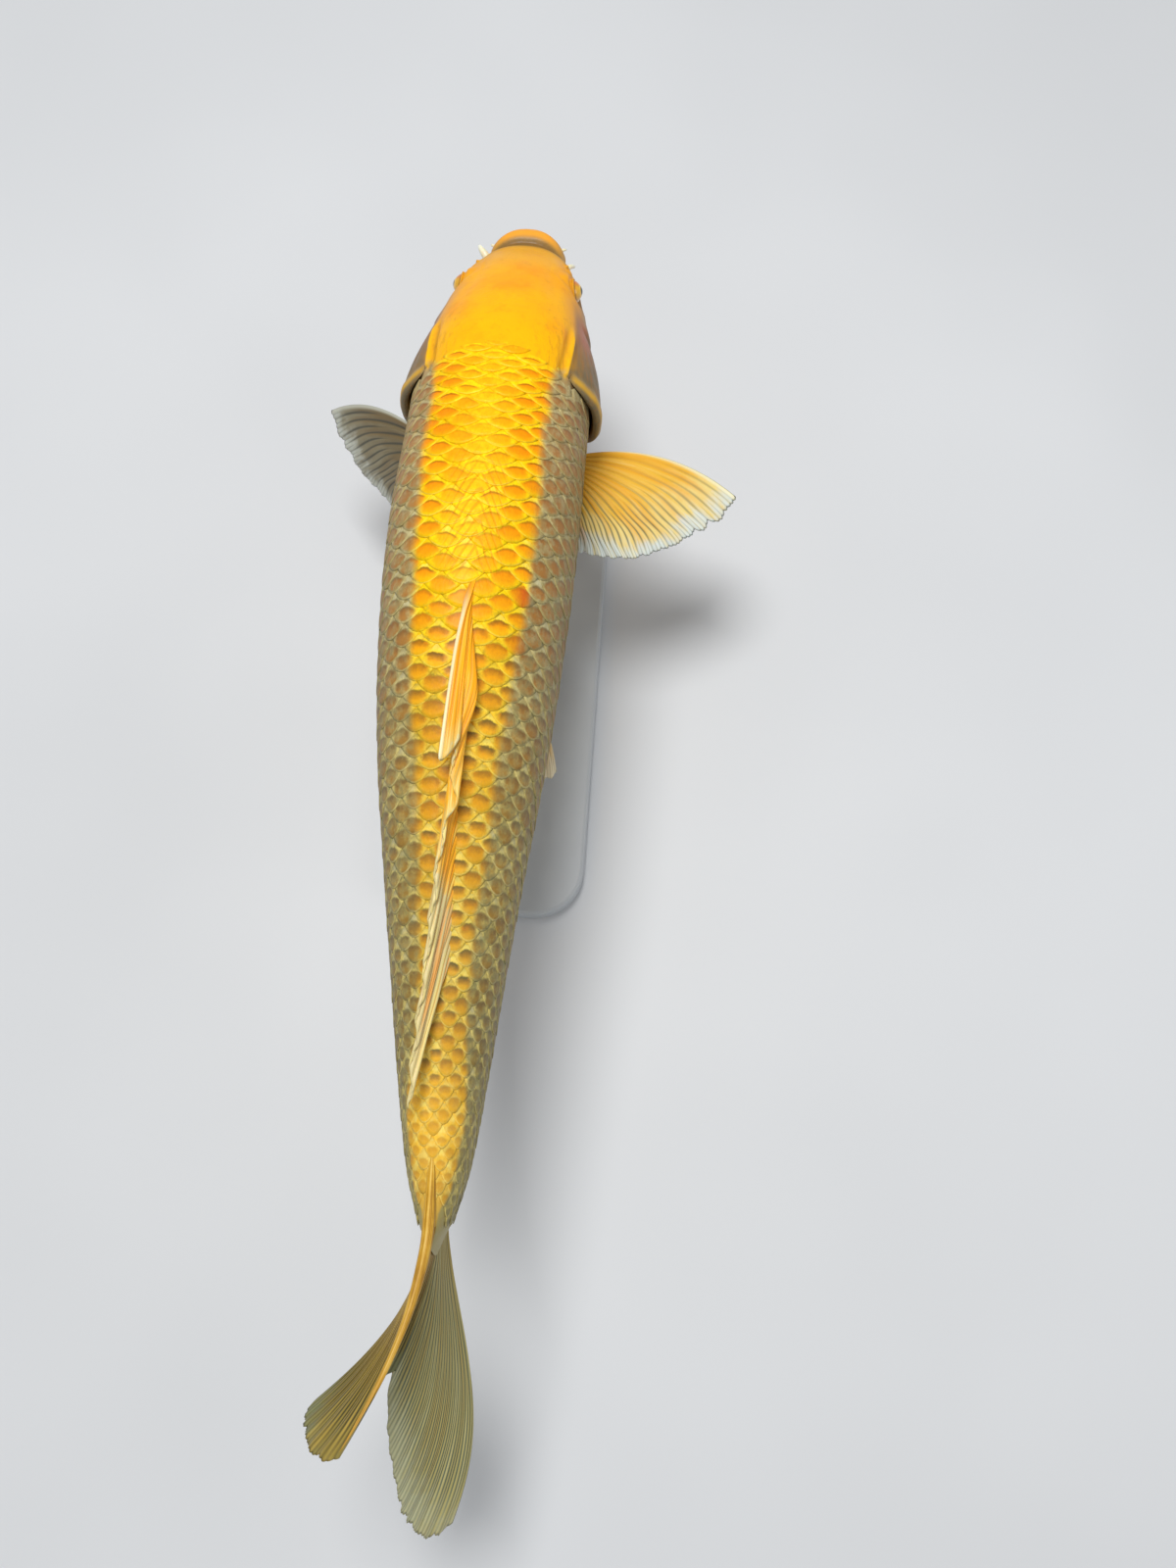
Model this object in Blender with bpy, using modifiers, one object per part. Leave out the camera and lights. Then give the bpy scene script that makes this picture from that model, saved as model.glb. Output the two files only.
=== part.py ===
"""A life-size koi carp, swimming, held over a flat base by two short rods.

The fish heads along +Y with its back up, so its right side is +X. A place on the body is given by
two numbers: its distance behind the snout, and its angle round the section, 0 on the back's ridge,
a quarter turn on the right flank and a half turn under the belly. Lengths are in metres.
"""

import math

import bmesh
import bpy
from mathutils import Matrix, Vector

# Driving dimensions of the fish
BODY_END = 0.5650  # where the scaled body ends and the tail fin starts
AXIS_HEIGHT = 0.190  # the body's long axis above the floor
SNOUT_Y = 0.235  # puts the fish's weight over the middle of the base
BOW = 0.0087  # how far the body bends to its left
BOW_LENGTH = 0.550
BOW_SHIFT = 0.0075  # brings the bent body's middle back over the base
GAP = 0.0003  # between pieces that touch

# Body stations: distance behind the snout, half width, back above the axis, belly below it
STATIONS = (
    (0.0125, 0.0215, 0.0020, 0.0270),  # crease behind the lips
    (0.0300, 0.0315, 0.0170, 0.0370),  # nostrils
    (0.0470, 0.0368, 0.0295, 0.0445),  # eyes
    (0.0760, 0.0455, 0.0470, 0.0545),  # cheeks
    (0.1050, 0.0500, 0.0600, 0.0615),  # nape
    (0.1500, 0.0515, 0.0700, 0.0670),  # shoulder
    (0.2150, 0.0525, 0.0765, 0.0680),  # deepest section
    (0.2850, 0.0493, 0.0735, 0.0645),  # pelvic fins
    (0.3400, 0.0440, 0.0660, 0.0585),
    (0.3950, 0.0365, 0.0565, 0.0510),
    (0.4450, 0.0298, 0.0470, 0.0435),  # end of the dorsal fin's root
    (0.4950, 0.0232, 0.0390, 0.0355),  # end of the anal fin's root
    (0.5400, 0.0160, 0.0345, 0.0310),  # tail stalk
    (0.5650, 0.0085, 0.0330, 0.0295),  # root of the tail fin
)
LIPS_END = STATIONS[0][0]
LIP_REACH = 0.0032  # how far the lips stand out in front of where distances are counted from
HEAD_END = 0.1040
TRUNK_MIDDLE = 0.2600
TRUNK_END = 0.4450
SIDES = 32  # facets round the body

# How full a section is: 1 is an ellipse, less is squarer. The head's top is broad and flat.
HEAD_FULLNESS = 0.80
TRUNK_FULLNESS = 0.88
TOP_FULLNESS = 0.95
FULLNESS_CHANGE = (0.080, 0.160)

# Gill covers
GILL_FRONT = 0.080
GILL_REAR = 0.126
GILL_TOP = math.radians(48)
GILL_WIDEST = math.radians(90)
GILL_BOTTOM = math.radians(158)
GILL_TOP_SETBACK = 0.004  # how far its rear edge curves forward at the top
GILL_BOTTOM_SETBACK = 0.034  # and at the bottom
GILL_FLARE = 0.0080  # how far its rear edge stands off the body
GILL_EDGE_THICKNESS = 0.0010
GILL_THICKNESS = 0.0024

# Eyes
EYE_BEHIND_SNOUT = 0.0470
EYE_HEIGHT = 0.0100
EYE_OUT = 0.0312
EYE_RADIUS = 0.0080

# Mouth
MOUTH_DROP = 0.0125  # the mouth slit below the axis
MOUTH_SLOPE = math.radians(14)  # the slit runs down towards its corners

# Tail fin. Each lobe is set by the tips of its innermost, middle and leading rays:
# (to the fish's right of the root, behind the root, above the root)
TAIL_ROOT_HALF_HEIGHT = 0.0270
TAIL_ROOT_BULGE = 0.0050
UPPER_LOBE = ((-0.0150, 0.0720, 0.0), (-0.0500, 0.0860, 0.0250), (-0.0280, 0.1010, 0.0600))
LOWER_LOBE = ((-0.0150, 0.0720, 0.0), (-0.0080, 0.1290, -0.0280), (0.0130, 0.1480, -0.0620))
TAIL_CURL = 2.0  # how late along its length a ray turns sideways
TAIL_SPREAD = 0.75  # how early the rays spread
LOWER_LOBE_BELLY = 0.0180  # sideways bulge of the lower lobe's leading edge
LOWER_LOBE_BELLY_PLACE = 1.4

# Dorsal fin, folded down along the back and leaning left
DORSAL_ROOT = (0.2500, 0.4400)
DORSAL_FRONT_RAY = 0.1020
DORSAL_RAY = 0.0640
DORSAL_LAST_RAY = 0.0590
DORSAL_FRONT_SHARE = 0.10  # part of the root that bears the long front rays
DORSAL_FOLD = math.radians(10)
DORSAL_LEAN = (math.radians(8), math.radians(38))

# Anal fin
ANAL_ROOT = (0.4560, 0.4880)
ANAL_RAYS = (0.0520, 0.0300)
ANAL_ANGLES = (math.radians(52), math.radians(28))  # below level, first and last ray

# Paired fins: (longest ray, shortest ray, how fast the rays shorten, first and last ray's angle)
PECTORAL_FAN = (0.0990, 0.0420, 1.3, math.radians(9), math.radians(90))
PELVIC_FAN = (0.0600, 0.0380, 1.2, math.radians(2), math.radians(58))
PECTORAL_BOW = 0.14  # forward bulge of the leading ray, as a share of its length
PECTORAL_CAMBER = 0.010
PECTORAL_ROOT = (0.1290, 0.1470)
PECTORAL_ROOT_ANGLE = (math.radians(127), math.radians(135))
PELVIC_ROOT = (0.2700, 0.2790)
PELVIC_ROOT_ANGLE = (math.radians(146), math.radians(156))

# Stand
BASE_SIZE = (0.130, 0.300, 0.018)
BASE_CORNER = 0.032
BASE_EDGE = 0.0025
ROD_RADIUS = 0.0050
ROD_FOOT_RADIUS = 0.0150
ROD_FOOT_HEIGHT = 0.0050
ROD_REACH = 0.020  # how far a rod runs up past the belly before it is trimmed to fit
ROD_STATIONS = {"stand_rod_front": 0.150, "stand_rod_rear": 0.345}


def clear_scene():
    """Empties the scene."""
    for obj in list(bpy.data.objects):
        bpy.data.objects.remove(obj, do_unlink=True)


def make_collection(name):
    collection = bpy.data.collections.new(name)
    bpy.context.scene.collection.children.link(collection)
    return collection


def make_material(name, colour, roughness, metallic=0.0):
    material = bpy.data.materials.new(name)
    material.use_nodes = True
    shader = material.node_tree.nodes["Principled BSDF"]
    shader.inputs["Base Color"].default_value = (*colour, 1.0)
    shader.inputs["Roughness"].default_value = roughness
    shader.inputs["Metallic"].default_value = metallic
    return material


clear_scene()
PARTS = make_collection("koi_carp")
CUTTERS = make_collection("cutters")
HEAD_SKIN = make_material("head_skin", (0.95, 0.48, 0.03), 0.35)
SCALED_SKIN = make_material("scaled_skin", (0.85, 0.45, 0.05), 0.35)
FIN = make_material("fin", (0.80, 0.50, 0.15), 0.40)
BARBEL = make_material("barbel", (0.85, 0.75, 0.50), 0.45)
EYE = make_material("eye", (0.10, 0.07, 0.03), 0.10)
BASE_PAINT = make_material("base_paint", (0.62, 0.64, 0.65), 0.40)
STEEL = make_material("rod_steel", (0.60, 0.60, 0.60), 0.30, 1.0)


def smoothstep(low, high, value):
    share = min(1.0, max(0.0, (value - low) / (high - low)))
    return share * share * (3 - 2 * share)


def mix(a, b, share):
    return a + (b - a) * share


def hermite(column, s):
    """One of the stations' sizes at a distance behind the snout, on a smooth curve through them."""
    places = [row[0] for row in STATIONS]
    sizes = [row[column] for row in STATIONS]
    last = len(places) - 1
    i = max(0, min(last - 1, sum(place <= s for place in places) - 1))

    def slope(k):
        before, after = max(0, k - 1), min(last, k + 1)
        return (sizes[after] - sizes[before]) / (places[after] - places[before])

    span = places[i + 1] - places[i]
    t = (s - places[i]) / span
    return (
        (2 * t**3 - 3 * t**2 + 1) * sizes[i]
        + (t**3 - 2 * t**2 + t) * span * slope(i)
        + (3 * t**2 - 2 * t**3) * sizes[i + 1]
        + (t**3 - t**2) * span * slope(i + 1)
    )


def body_sizes(s):
    """Half width, back and belly. In front of the first station the body rounds off to the lips."""
    if s >= LIPS_END:
        return tuple(hermite(column, s) for column in (1, 2, 3))
    _, half_width, back, belly = STATIONS[0]
    middle, half_height = (back - belly) / 2, (back + belly) / 2
    share = math.sqrt(max(0.0, 1 - ((LIPS_END - s) / (LIPS_END + LIP_REACH)) ** 2))
    return half_width * share, middle + half_height * share, half_height * share - middle


def spine_x(s):
    return BOW_SHIFT - BOW * math.sin(math.pi * s / BOW_LENGTH)


def gill_rear_edge(angle):
    """Where a gill cover ends, behind the snout."""
    if angle < GILL_WIDEST:
        share = (GILL_WIDEST - angle) / (GILL_WIDEST - GILL_TOP)
        return GILL_REAR - GILL_TOP_SETBACK * share**2
    share = (angle - GILL_WIDEST) / (GILL_BOTTOM - GILL_WIDEST)
    return GILL_REAR - GILL_BOTTOM_SETBACK * share**1.6


def gill_window(angle):
    """1 at the middle of a gill cover's height, falling to 0 at its upper and lower ends."""
    return smoothstep(GILL_TOP, math.radians(80), angle) * (
        1 - smoothstep(math.radians(115), GILL_BOTTOM, angle)
    )


def gill_flare(s, angle):
    share = max(0.0, (s - GILL_FRONT) / (GILL_REAR - GILL_FRONT))
    return GILL_FLARE * share * gill_window(angle)


def gill_thickness(angle):
    return mix(GILL_EDGE_THICKNESS, GILL_THICKNESS, gill_window(angle))


def body_point(s, angle, out=0.0):
    """A point of the body's surface, moved out from the section's centre by a given distance."""
    half_width, back, belly = body_sizes(s)
    blend = smoothstep(*FULLNESS_CHANGE, s)
    side, up = math.sin(angle), math.cos(angle)
    x = half_width * math.copysign(abs(side) ** mix(HEAD_FULLNESS, TRUNK_FULLNESS, blend), side)
    z = (back + belly) / 2 * math.copysign(abs(up) ** TOP_FULLNESS, up)
    away = Vector((x, 0, z))
    away.normalize()
    centre = Vector((spine_x(s), SNOUT_Y - s, AXIS_HEIGHT + (back - belly) / 2))
    return centre + Vector((x, 0, z)) + away * out


def new_object(name, mesh, material, collection=None):
    obj = bpy.data.objects.new(name, mesh)
    mesh.materials.append(material)
    (collection or PARTS).objects.link(obj)
    return obj


def finish_mesh(name, bm):
    bmesh.ops.recalc_face_normals(bm, faces=bm.faces)
    mesh = bpy.data.meshes.new(name)
    bm.to_mesh(mesh)
    bm.free()
    mesh.shade_smooth()
    mesh.set_sharp_from_angle(angle=math.radians(40))
    return mesh


def skin_rings(places, out=0.0):
    """A closed loft over rings of the body at these distances behind the snout."""
    bm = bmesh.new()
    turn = [math.tau * k / SIDES for k in range(SIDES)]
    rings = [[bm.verts.new(body_point(s, angle, out)) for angle in turn] for s in places]
    for ring, following in zip(rings, rings[1:]):
        for k in range(SIDES):
            after = (k + 1) % SIDES
            bm.faces.new((ring[k], ring[after], following[after], following[k]))
    bm.faces.new(rings[0])
    bm.faces.new(rings[-1])
    return bm


def spread(start, end, count):
    return [mix(start, end, k / count) for k in range(count + 1)]


def add_body_length(name, start, end, count, material):
    """One length of the body, with a flat cut at each end."""
    half_gap = GAP / 2
    bm = skin_rings(spread(start + half_gap, end - half_gap, count))
    return new_object(name, finish_mesh(name, bm), material)


def add_body_cutter():
    """The whole body grown by the gap, to trim what stands on it."""
    nose = [mix(-LIP_REACH, LIPS_END, share) for share in (0.02, 0.2, 0.5)]
    bm = skin_rings([*nose, *spread(LIPS_END, BODY_END, 60)], out=GAP)
    cutter = new_object("body_cutter", finish_mesh("body_cutter", bm), SCALED_SKIN, CUTTERS)
    cutter.hide_render = True
    cutter.display_type = "WIRE"
    return cutter


def trim(obj, cutter):
    """Cuts the part of obj that lies inside the cutter away."""
    boolean = obj.modifiers.new("trim", "BOOLEAN")
    boolean.operation = "DIFFERENCE"
    boolean.object = cutter


def keep_side(bm, point, normal):
    """Cuts the mesh at a plane, keeps what lies behind the normal and closes the cut."""
    everything = bm.verts[:] + bm.edges[:] + bm.faces[:]
    bmesh.ops.bisect_plane(
        bm, geom=everything, plane_co=point, plane_no=normal, clear_outer=True, dist=1e-7
    )
    rim = [edge for edge in bm.edges if edge.is_boundary]
    bmesh.ops.contextual_create(bm, geom=rim)


def add_lips():
    """The front of the snout, parted into an upper and a lower lip along the mouth."""
    places = [mix(-LIP_REACH, LIPS_END, share) for share in (0.03, 0.14, 0.3, 0.5, 0.75)]
    places.append(LIPS_END - GAP / 2)
    along_slit = Vector((0, -math.cos(MOUTH_SLOPE), -math.sin(MOUTH_SLOPE)))
    up = Vector((1, 0, 0)).cross(along_slit).normalized()
    if up.z < 0:
        up.negate()
    slit = Vector((spine_x(0), SNOUT_Y, AXIS_HEIGHT - MOUTH_DROP))
    for name, normal in (("upper_lip", -up), ("lower_lip", up)):
        bm = skin_rings(places)
        keep_side(bm, slit - normal * GAP / 2, normal)
        new_object(name, finish_mesh(name, bm), HEAD_SKIN)


def eye_centre(side):
    return Vector(
        (
            spine_x(EYE_BEHIND_SNOUT) + side * EYE_OUT,
            SNOUT_Y - EYE_BEHIND_SNOUT,
            AXIS_HEIGHT + EYE_HEIGHT,
        )
    )


def add_ball(name, centre, radius, material, collection=None):
    bm = bmesh.new()
    bmesh.ops.create_uvsphere(bm, u_segments=16, v_segments=9, radius=radius)
    ball = new_object(name, finish_mesh(name, bm), material, collection)
    ball.location = centre
    ball.rotation_euler = (0, math.radians(90), 0)  # its poles point sideways, as the pupils do
    return ball


def add_head_and_eyes():
    """The head, with a round socket cut for each eyeball."""
    head = add_body_length("head", LIPS_END, HEAD_END, 12, HEAD_SKIN)
    for name, side in (("eye_left", -1), ("eye_right", 1)):
        add_ball(name, eye_centre(side), EYE_RADIUS, EYE)
        socket = add_ball(name + "_socket", eye_centre(side), EYE_RADIUS + 2 * GAP, EYE, CUTTERS)
        socket.hide_render = True
        socket.display_type = "WIRE"
        trim(head, socket)
    return head


def grid_mesh(point, columns, rows):
    """An open sheet: point(a, r) is asked for a and r from 0 to 1."""
    bm = bmesh.new()
    verts = [
        [bm.verts.new(point(a / columns, r / rows)) for r in range(rows + 1)]
        for a in range(columns + 1)
    ]
    for a in range(columns):
        for r in range(rows):
            bm.faces.new((verts[a][r], verts[a + 1][r], verts[a + 1][r + 1], verts[a][r + 1]))
    return bm


def add_sheet(name, point, columns, rows, root_thickness, edge_thickness, material=FIN):
    """A fin: an open sheet, thick at its root (r = 0) and thin at its edge (r = 1)."""
    sheet = new_object(name, finish_mesh(name, grid_mesh(point, columns, rows)), material)
    group = sheet.vertex_groups.new(name="thickness")
    for index in range((columns + 1) * (rows + 1)):
        group.add([index], 1 - (index % (rows + 1)) / rows, "REPLACE")
    solidify = sheet.modifiers.new("thickness", "SOLIDIFY")
    solidify.thickness = root_thickness
    solidify.offset = 0
    solidify.vertex_group = group.name
    solidify.thickness_vertex_group = edge_thickness / root_thickness
    return sheet


def plate_mesh(side, margin, outward, inward):
    """A curved plate over the gills, grown by the margin at its rim and by its two faces."""
    columns, rows = 12, 7
    wider = margin / 0.045  # the margin as an angle, on a section of this radius

    def layer(out, inner):
        def vertex(a, r):
            angle = mix(GILL_TOP - wider, GILL_BOTTOM + wider, a / columns)
            s = mix(GILL_FRONT - margin, gill_rear_edge(angle) + margin, r / rows)
            thickness = gill_thickness(angle) if inner else 0.0
            return bm.verts.new(body_point(s, side * angle, gill_flare(s, angle) - thickness + out))

        return [[vertex(a, r) for r in range(rows + 1)] for a in range(columns + 1)]

    bm = bmesh.new()
    sheets = (layer(outward, False), layer(-inward, True))
    for sheet in sheets:
        for a in range(columns):
            for r in range(rows):
                bm.faces.new((sheet[a][r], sheet[a + 1][r], sheet[a + 1][r + 1], sheet[a][r + 1]))
    rim = [(a, 0) for a in range(columns)]
    rim += [(columns, r) for r in range(rows)]
    rim += [(a, rows) for a in range(columns, 0, -1)]
    rim += [(0, r) for r in range(rows, 0, -1)]
    outer, inner = sheets
    for (a, r), (b, q) in zip(rim, rim[1:] + rim[:1]):
        bm.faces.new((outer[a][r], outer[b][q], inner[b][q], inner[a][r]))
    return bm


def add_gill_covers(*under):
    """Bony plates over the gills. Their fronts lie flush in the body, their rear edges stand off."""
    for name, side in (("gill_cover_left", -1), ("gill_cover_right", 1)):
        new_object(name, finish_mesh(name, plate_mesh(side, 0.0, 0.0, 0.0)), HEAD_SKIN)
        bed_mesh = finish_mesh(name + "_bed", plate_mesh(side, GAP, 0.004, GAP))
        bed = new_object(name + "_bed", bed_mesh, HEAD_SKIN, CUTTERS)
        bed.hide_render = True
        bed.display_type = "WIRE"
        for obj in under:
            trim(obj, bed)


def through_three(values, a):
    """A value on the parabola through three others, at a = 0, 1/2 and 1."""
    first, middle, last = values
    return first * (1 - a) * (1 - 2 * a) + middle * 4 * a * (1 - a) + last * a * (2 * a - 1)


def tail_point(lobe):
    """A lobe of the tail fin, from its innermost ray (a = 0) to its leading edge (a = 1)."""
    sign = math.copysign(1, lobe[2][2])
    belly = LOWER_LOBE_BELLY if lobe is LOWER_LOBE else 0.0
    lift = (STATIONS[-1][2] - STATIONS[-1][3]) / 2
    root = Vector((spine_x(BODY_END), SNOUT_Y - BODY_END - GAP, AXIS_HEIGHT + lift + sign * GAP))

    def point(a, r):
        side_tip, back_tip, height_tip = (through_three(values, a) for values in zip(*lobe))
        back = mix(TAIL_ROOT_BULGE * (1 - a * a), back_tip, r)
        height = mix(sign * TAIL_ROOT_HALF_HEIGHT * a, height_tip, r**TAIL_SPREAD)
        side = side_tip * r**TAIL_CURL
        side += belly * a * math.sin(math.pi * r**LOWER_LOBE_BELLY_PLACE)
        return root + Vector((side, -back, height))

    return point


def add_tail_fin():
    for name, lobe in (("tail_fin_upper_lobe", UPPER_LOBE), ("tail_fin_lower_lobe", LOWER_LOBE)):
        trim(add_sheet(name, tail_point(lobe), 10, 8, 0.0040, 0.0010), BODY_CUTTER)


def dorsal_ray(a):
    """Length of a ray of the dorsal fin. The first few are the longest."""
    front = math.exp(-((a / DORSAL_FRONT_SHARE) ** 2))
    return mix(mix(DORSAL_RAY, DORSAL_LAST_RAY, a), DORSAL_FRONT_RAY, front)


def dorsal_point(a, r):
    """Rays lie back along the ridge, so each point is set by its height over the ridge."""
    root = mix(*DORSAL_ROOT, a)
    s = root + dorsal_ray(a) * math.cos(DORSAL_FOLD) * r
    height = dorsal_ray(a) * math.sin(DORSAL_FOLD) * r
    _, back, _ = body_sizes(s)
    sunk = 0.003  # the root starts inside the body and is trimmed to it
    return Vector(
        (
            spine_x(s) - height * math.tan(mix(*DORSAL_LEAN, a)),
            SNOUT_Y - s,
            AXIS_HEIGHT + back + height - sunk * (1 - r),
        )
    )


def anal_point(a, r):
    root = mix(*ANAL_ROOT, a)
    angle = mix(*ANAL_ANGLES, a)
    reach = mix(*ANAL_RAYS, a**0.8) * r
    s = root + reach * math.cos(angle)
    _, _, belly = body_sizes(root)
    sunk = 0.004 * (1 - r)
    return Vector(
        (spine_x(s), SNOUT_Y - s, AXIS_HEIGHT - belly + sunk - reach * math.sin(angle))
    )


def fan_point(fan, roots, turn, bow, camber):
    """A paired fin: rays fan out between two root points, in a plane given by a turned frame.

    In that frame X runs out along the leading ray, -Y runs back and Z is the upper face.
    """
    longest, shortest, fall, first, last = fan
    front_root, rear_root = roots

    def point(a, r):
        length = mix(shortest, longest, (1 - a) ** fall)
        angle = mix(first, last, a)
        along = length * r
        bulge = bow * length * 4 * r * (1 - r) * (1 - a)
        flat = Vector(
            (
                along * math.cos(angle) + bulge * math.sin(angle),
                -along * math.sin(angle) + bulge * math.cos(angle),
                -camber * r * r,
            )
        )
        return front_root.lerp(rear_root, a) + turn @ flat

    return point


def fin_frame(side, sweep, droop, twist):
    """A paired fin's turned frame: swept forward, drooping outward, then twisted on its leading ray."""
    turn = (
        Matrix.Rotation(sweep, 3, "Z")
        @ Matrix.Rotation(droop, 3, "Y")
        @ Matrix.Rotation(twist, 3, "X")
    )
    mirror = Matrix.Scale(side, 3, Vector((1, 0, 0)))
    return mirror @ turn


def add_paired_fin(name, side, fan, root, root_angle, pose, rows, thickness):
    """One pectoral or pelvic fin, rooted just under the skin and trimmed to it."""
    sunk = -0.003
    ends = [body_point(s, side * angle, sunk) for s, angle in zip(root, root_angle)]
    pectoral = fan is PECTORAL_FAN
    point = fan_point(
        fan,
        ends,
        fin_frame(side, *pose),
        PECTORAL_BOW if pectoral else 0.05,
        PECTORAL_CAMBER if pectoral else 0.003,
    )
    fin = add_sheet(name, point, rows + 3, rows, thickness, 0.0008)
    trim(fin, BODY_CUTTER)


def add_paired_fins():
    degrees = math.radians
    pectoral_poses = {
        "pectoral_fin_left": (-1, (degrees(33), degrees(17), degrees(50))),
        "pectoral_fin_right": (1, (degrees(3), degrees(4), degrees(2))),
    }
    for name, (side, pose) in pectoral_poses.items():
        add_paired_fin(
            name, side, PECTORAL_FAN, PECTORAL_ROOT, PECTORAL_ROOT_ANGLE, pose, 8, 0.0030
        )
    pelvic_pose = (degrees(-62), degrees(38), degrees(-25))
    for name, side in (("pelvic_fin_left", -1), ("pelvic_fin_right", 1)):
        add_paired_fin(name, side, PELVIC_FAN, PELVIC_ROOT, PELVIC_ROOT_ANGLE, pelvic_pose, 6, 0.0024)


def add_barbel(name, side, root, tip, bend, thickness):
    """A fleshy feeler: a bent tube that narrows to its tip."""
    curve = bpy.data.curves.new(name, "CURVE")
    curve.dimensions = "3D"
    curve.bevel_depth = thickness
    curve.bevel_resolution = 2
    curve.use_fill_caps = True
    spline = curve.splines.new("POLY")
    steps = 6
    spline.points.add(steps)
    for k in range(steps + 1):
        share = k / steps
        place = root.lerp(tip, share) + bend * math.sin(math.pi * share)
        spline.points[k].co = (*place, 1)
        spline.points[k].radius = mix(1.0, 0.45, share)
    barbel = bpy.data.objects.new(name, curve)
    curve.materials.append(BARBEL)
    PARTS.objects.link(barbel)


def add_barbels():
    """A long pair at the corners of the mouth and a short pair on the upper lip."""
    corner, lip = 0.0155, 0.0075
    for word, side in (("left", -1), ("right", 1)):
        root = body_point(corner, side * math.radians(100), 0.0022)
        tip = root + Vector((side * 0.0070, 0.0070, -0.0120))
        add_barbel(f"barbel_corner_{word}", side, root, tip, Vector((side * 0.003, 0, 0)), 0.0014)
        root = body_point(lip, side * math.radians(70), 0.0016)
        tip = root + Vector((side * 0.0050, 0.0020, -0.0040))
        add_barbel(f"barbel_lip_{word}", side, root, tip, Vector((side * 0.001, 0, 0.001)), 0.0009)


def add_base():
    """A flat slab with rounded corners and a softened edge."""
    bm = bmesh.new()
    bmesh.ops.create_cube(bm, size=1.0)
    bmesh.ops.scale(bm, vec=BASE_SIZE, verts=bm.verts)
    uprights = [e for e in bm.edges if abs(e.verts[0].co.z - e.verts[1].co.z) > BASE_SIZE[2] / 2]
    bmesh.ops.bevel(bm, geom=uprights, offset=BASE_CORNER, segments=8, profile=0.5, affect="EDGES")
    base = new_object("stand_base", finish_mesh("stand_base", bm), BASE_PAINT)
    base.location = (0, 0, BASE_SIZE[2] / 2)
    bevel = base.modifiers.new("edge", "BEVEL")
    bevel.width = BASE_EDGE
    bevel.segments = 2
    bevel.limit_method = "ANGLE"
    bevel.angle_limit = math.radians(60)


def add_rod(name, s):
    """A round rod with a flanged foot, turned from its profile and trimmed to the belly."""
    _, _, belly = body_sizes(s)
    height = AXIS_HEIGHT - belly + ROD_REACH - BASE_SIZE[2]
    profile = [
        (0.0, height),
        (ROD_RADIUS, height),
        (ROD_RADIUS, ROD_FOOT_HEIGHT),
        (ROD_FOOT_RADIUS - 0.001, ROD_FOOT_HEIGHT - 0.0015),
        (ROD_FOOT_RADIUS, ROD_FOOT_HEIGHT - 0.0025),
        (ROD_FOOT_RADIUS, GAP),
        (0.0, GAP),
    ]
    bm = bmesh.new()
    verts = [bm.verts.new((radius, 0, z)) for radius, z in profile]
    for upper, lower in zip(verts, verts[1:]):
        bm.edges.new((upper, lower))
    mesh = bpy.data.meshes.new(name)
    bm.to_mesh(mesh)
    bm.free()
    rod = new_object(name, mesh, STEEL)
    rod.location = (spine_x(s), SNOUT_Y - s, BASE_SIZE[2])
    screw = rod.modifiers.new("turn", "SCREW")
    screw.steps = 24
    screw.render_steps = 24
    screw.use_merge_vertices = True
    screw.merge_threshold = 0.0001
    trim(rod, BODY_CUTTER)


BODY_CUTTER = add_body_cutter()
add_lips()
HEAD = add_head_and_eyes()
SHOULDERS = add_body_length("trunk_front", HEAD_END, TRUNK_MIDDLE, 10, SCALED_SKIN)
add_body_length("trunk_rear", TRUNK_MIDDLE, TRUNK_END, 8, SCALED_SKIN)
add_body_length("tail_stalk", TRUNK_END, BODY_END, 6, SCALED_SKIN)
add_gill_covers(HEAD, SHOULDERS)
add_tail_fin()
trim(add_sheet("dorsal_fin", dorsal_point, 18, 4, 0.0030, 0.0012), BODY_CUTTER)
trim(add_sheet("anal_fin", anal_point, 8, 6, 0.0030, 0.0010), BODY_CUTTER)
add_paired_fins()
add_barbels()
add_base()
for rod_name, station in ROD_STATIONS.items():
    add_rod(rod_name, station)
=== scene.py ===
"""A life-size koi carp on a plain display stand: skin, scales, fins, eyes and feelers.

The fish heads along +Y with its back up, so its right side is +X. A place on its body is given by
two numbers: s, the distance behind the snout, and the angle round the section, 0 on the ridge of
the back, a quarter turn on the right flank and a half turn under the belly. Lengths are in metres.
"""

import math

import bmesh
import bpy
import numpy as np
from mathutils import Matrix, Vector


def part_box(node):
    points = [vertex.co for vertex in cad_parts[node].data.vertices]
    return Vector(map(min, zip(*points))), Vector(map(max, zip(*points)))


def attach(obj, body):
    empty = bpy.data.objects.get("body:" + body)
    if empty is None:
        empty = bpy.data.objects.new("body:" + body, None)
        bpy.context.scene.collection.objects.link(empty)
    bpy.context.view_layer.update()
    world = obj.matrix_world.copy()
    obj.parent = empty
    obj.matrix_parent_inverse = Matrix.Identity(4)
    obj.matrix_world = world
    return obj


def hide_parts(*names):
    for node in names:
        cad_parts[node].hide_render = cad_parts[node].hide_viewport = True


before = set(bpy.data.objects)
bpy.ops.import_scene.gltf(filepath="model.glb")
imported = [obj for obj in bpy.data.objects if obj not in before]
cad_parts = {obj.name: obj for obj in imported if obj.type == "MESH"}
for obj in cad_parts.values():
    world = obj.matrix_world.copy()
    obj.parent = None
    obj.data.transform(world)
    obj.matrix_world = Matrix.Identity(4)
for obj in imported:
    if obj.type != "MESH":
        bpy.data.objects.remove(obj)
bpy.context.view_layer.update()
BODY = "root"
RANDOM = np.random.default_rng(7)
DEGREE = math.pi / 180

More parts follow.
